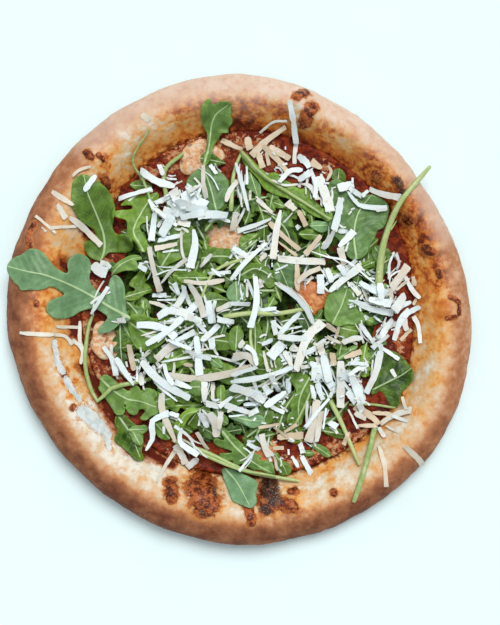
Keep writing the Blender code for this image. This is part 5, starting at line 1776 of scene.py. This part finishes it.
def make_cheese_finish():
    material, tree, shader = new_finish("shaved_cheese", roughness=0.5, specular=0.45)
    wander = calc(tree, "MULTIPLY", calc(tree, "SUBTRACT", mottled(tree, 7, 0.3, 0.7), 0.5), 0.3)
    # Tone 0 is white with a painted cool cast of the window light; tone 1 is tan, partly painted
    # shade.
    plain = colour_ramp(
        tree, calc(tree, "ADD", stored(tree, "tone"), wander), (0, (227, 240, 243)),
        (0.5, (222, 217, 203)), (1, (212, 194, 165)),
    )
    grain = calc(tree, "MULTIPLY", mottled(tree, 1.3, 0.5, 0.7, 0.4), 0.25)
    colour = blend(tree, grain, plain, paint(190, 186, 172))
    tree.links.new(colour, shader.inputs["Base Color"])
    tree.links.new(relief(tree, 1.6, 0.14, 0.5, 0.05), shader.inputs["Normal"])
    shader.inputs["Subsurface Weight"].default_value = 0.15
    shader.inputs["Subsurface Radius"].default_value = (0.002, 0.0016, 0.001)
    return material


shaved = make_cheese_finish()
draw = random.Random(STRIP_SEED)
STRIP_TREE_VALUES = {
    "Thickness_share": STRIP_THICKNESS, "Ragged_size": 0.003, "Ragged_depth": 0.001,
    "Seed": 4.0, "Material": shaved,
}


def splinters(rows, draw):
    """Narrower pieces that broke off beside the strips of a table."""
    for width, *points in rows:
        ends = np.array((points[:2], points[-2:]), float)
        if draw.random() < 0.2 or np.hypot(*ends.T).max() > SPLINTER_REACH:
            continue
        drift = [draw.uniform(-SPLINTER_DRIFT, SPLINTER_DRIFT) for _ in range(2)]
        middle = ends.mean(0) + drift
        turn = draw.uniform(-0.7, 0.7)
        half = (ends[1] - ends[0]) / 2 * draw.uniform(0.5, 1.15)
        half = np.array((half[0] * math.cos(turn) - half[1] * math.sin(turn),
                         half[0] * math.sin(turn) + half[1] * math.cos(turn)))
        bow = np.array((-half[1], half[0])) * draw.uniform(-0.25, 0.25)
        row = np.concatenate((middle - half, middle + bow, middle + half))
        yield (max(width * draw.uniform(0.2, 0.55), 0.9), *row)


paths = []
for rows in (CREAM_STRIPS, WHITE_STRIPS):
    for width, *points in [*splinters(rows, draw), *splinters(rows, draw)]:
        paths.append(lay_strip(width, points, draw.uniform(0, 0.35), draw))
for tone, rows in ((1.0, TAN_STRIPS), (0.4, CREAM_STRIPS), (0.0, WHITE_STRIPS)):
    for width, *points in rows:
        shade = min(max(tone + draw.uniform(-TONE_SPREAD, TONE_SPREAD), 0), 1)
        paths.append(lay_strip(width, points, shade, draw))
strips = paths_piece("shaved_strips", paths)
grow(strips, SWEPT_STRIP, **STRIP_TREE_VALUES)
finish_swept(strips, "strips")
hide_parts("rocket_and_shavings")
rim_paths = [lay_strip(width, points, draw.uniform(0.3, 0.8), draw, RIM_STIFFNESS)
             for width, *points in RIM_STRIPS]
rim_strips = paths_piece("rim_strips", rim_paths)
grow(rim_strips, SWEPT_STRIP, **STRIP_TREE_VALUES)
finish_swept(rim_strips, "rim strips")
print("highest of the pile, mm:", pile.top[on_sauce].max().round(1))

# %% [markdown]
# ## Crumbs of cheese
#
# Grating also leaves small flakes. They are too many to place by hand, so the tree
# `scattered_flakes` drops them, with a fixed seed, on a surface made from the height map. A
# value on that surface says how crowded each part is.

# %% Flakes
CROWDED = (
    (-35, 62, 22), (60, 70, 20), (80, 8, 26), (-35, -15, 24), (40, -30, 24), (70, -42, 18),
    (20, -55, 22), (92, -12, 16), (-60, -36, 16), (20, 92, 14), (30, -84, 14), (10, 28, 26),
)
FLAKES_PER_SQUARE_METRE = 24000.0
FLAKE_SIZE = 0.0026
FLAKE_SEED = 3
FLAKE_TONE = 0.15
FLAKE_LIFT = 0.25


def flake_ground():
    """The top of the pile as a mesh, thinned to every second millimetre."""
    step = 2
    x, y, z = gx[::step, ::step], gy[::step, ::step], pile.top[::step, ::step] + FLAKE_LIFT
    crowd = np.zeros_like(z)
    for cx, cy, radius in CROWDED:
        crowd = np.maximum(crowd, smooth_step(radius, radius * 0.4, np.hypot(x - cx, y - cy)))
    points = np.column_stack([v.ravel() for v in (x, y, z)])
    faces = grid_faces(*z.shape)
    crowd = crowd.ravel()
    used = [f for f in faces if crowd[list(f)].max() > 0]
    piece = new_piece("cheese_flakes", points, used)
    keep_values(piece.data, crowd=crowd)
    return piece


flakes = flake_ground()
grow(flakes, SCATTERED_FLAKES, Number_per_square_metre=FLAKES_PER_SQUARE_METRE,
     Flake_size=FLAKE_SIZE, Seed=FLAKE_SEED, Material=shaved)
keep_values(flakes.data, tone=np.full(len(flakes.data.vertices), FLAKE_TONE))
finish_swept(flakes, "flakes")
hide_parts("rocket_and_shavings")

# %% [markdown]
# ## Light, floor and camera
#
# The pizza was seen from almost straight above, by a window beyond its far edge. A soft sun
# with a wide disc stands for the window and throws the rim's shadow on the sauce, and a pale
# sky fills the rest. The camera looks down with a slight lean.

# %% The stage
CAMERA_HEIGHT = 0.82
VIEW_LENGTH = 0.3894
TARGET = Vector((6.5 * MM, -3.1 * MM, 0.009))
SENSOR = 36.0
CAMERA_LEAN = (-0.01, -0.05, 1)
FLOOR_HALF, FLOOR_LEVEL = 1.5, -0.0004
SUN_FROM = (0.14, 0.46, 0.86)
SUN_STRENGTH, SUN_WIDTH_DEGREES = 2.15, 32
SKY_STRENGTH = 0.56


def make_floor():
    material, tree, shader = new_finish("pale_floor", roughness=0.9, specular=0.1)
    tint = blend(tree, mottled(tree, 60, 0.2, 0.8), paint(228, 247, 249), paint(231, 250, 252))
    tree.links.new(tint, shader.inputs["Base Color"])
    mesh = bpy.data.meshes.new("pale_floor")
    corners = [(x * FLOOR_HALF, y * FLOOR_HALF, FLOOR_LEVEL)
               for x, y in ((-1, -1), (1, -1), (1, 1), (-1, 1))]
    mesh.from_pydata(corners, [], [(0, 1, 2, 3)])
    mesh.materials.append(material)
    floor = bpy.data.objects.new("pale_floor", mesh)
    bpy.context.scene.collection.objects.link(floor)
    floor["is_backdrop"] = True


def make_light():
    world = bpy.data.worlds.new("pale_sky")
    bpy.context.scene.world = world
    world.use_nodes = True
    sky = world.node_tree.nodes["Background"]
    sky.inputs["Color"].default_value = (0.94, 0.975, 1.0, 1.0)
    sky.inputs["Strength"].default_value = SKY_STRENGTH
    lamp = bpy.data.lights.new("window", "SUN")
    lamp.energy = SUN_STRENGTH
    lamp.angle = math.radians(SUN_WIDTH_DEGREES)
    lamp.color = (1.0, 0.985, 0.96)
    window = bpy.data.objects.new("window", lamp)
    bpy.context.scene.collection.objects.link(window)
    window.rotation_euler = Vector(SUN_FROM).to_track_quat("Z", "Y").to_euler()


def make_camera():
    lens = bpy.data.cameras.new("camera")
    lens.sensor_width = SENSOR
    lens.lens = SENSOR * CAMERA_HEIGHT / VIEW_LENGTH
    camera = bpy.data.objects.new("camera", lens)
    bpy.context.scene.collection.objects.link(camera)
    back = Vector(CAMERA_LEAN).normalized()
    right = Vector((0, 1, 0)).cross(back).normalized()
    axes = Matrix((right, back.cross(right), back)).transposed()
    camera.location = TARGET + back * CAMERA_HEIGHT
    camera.rotation_euler = axes.to_euler()
    bpy.context.scene.camera = camera


make_floor()
make_light()
make_camera()
bpy.context.scene.view_settings.view_transform = "Standard"

# %% Both boxes, and the end
shown_box = [list(corner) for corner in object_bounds()]
print("box of the scene, mm:", [[round(c * 1000, 1) for c in corner] for corner in shown_box])
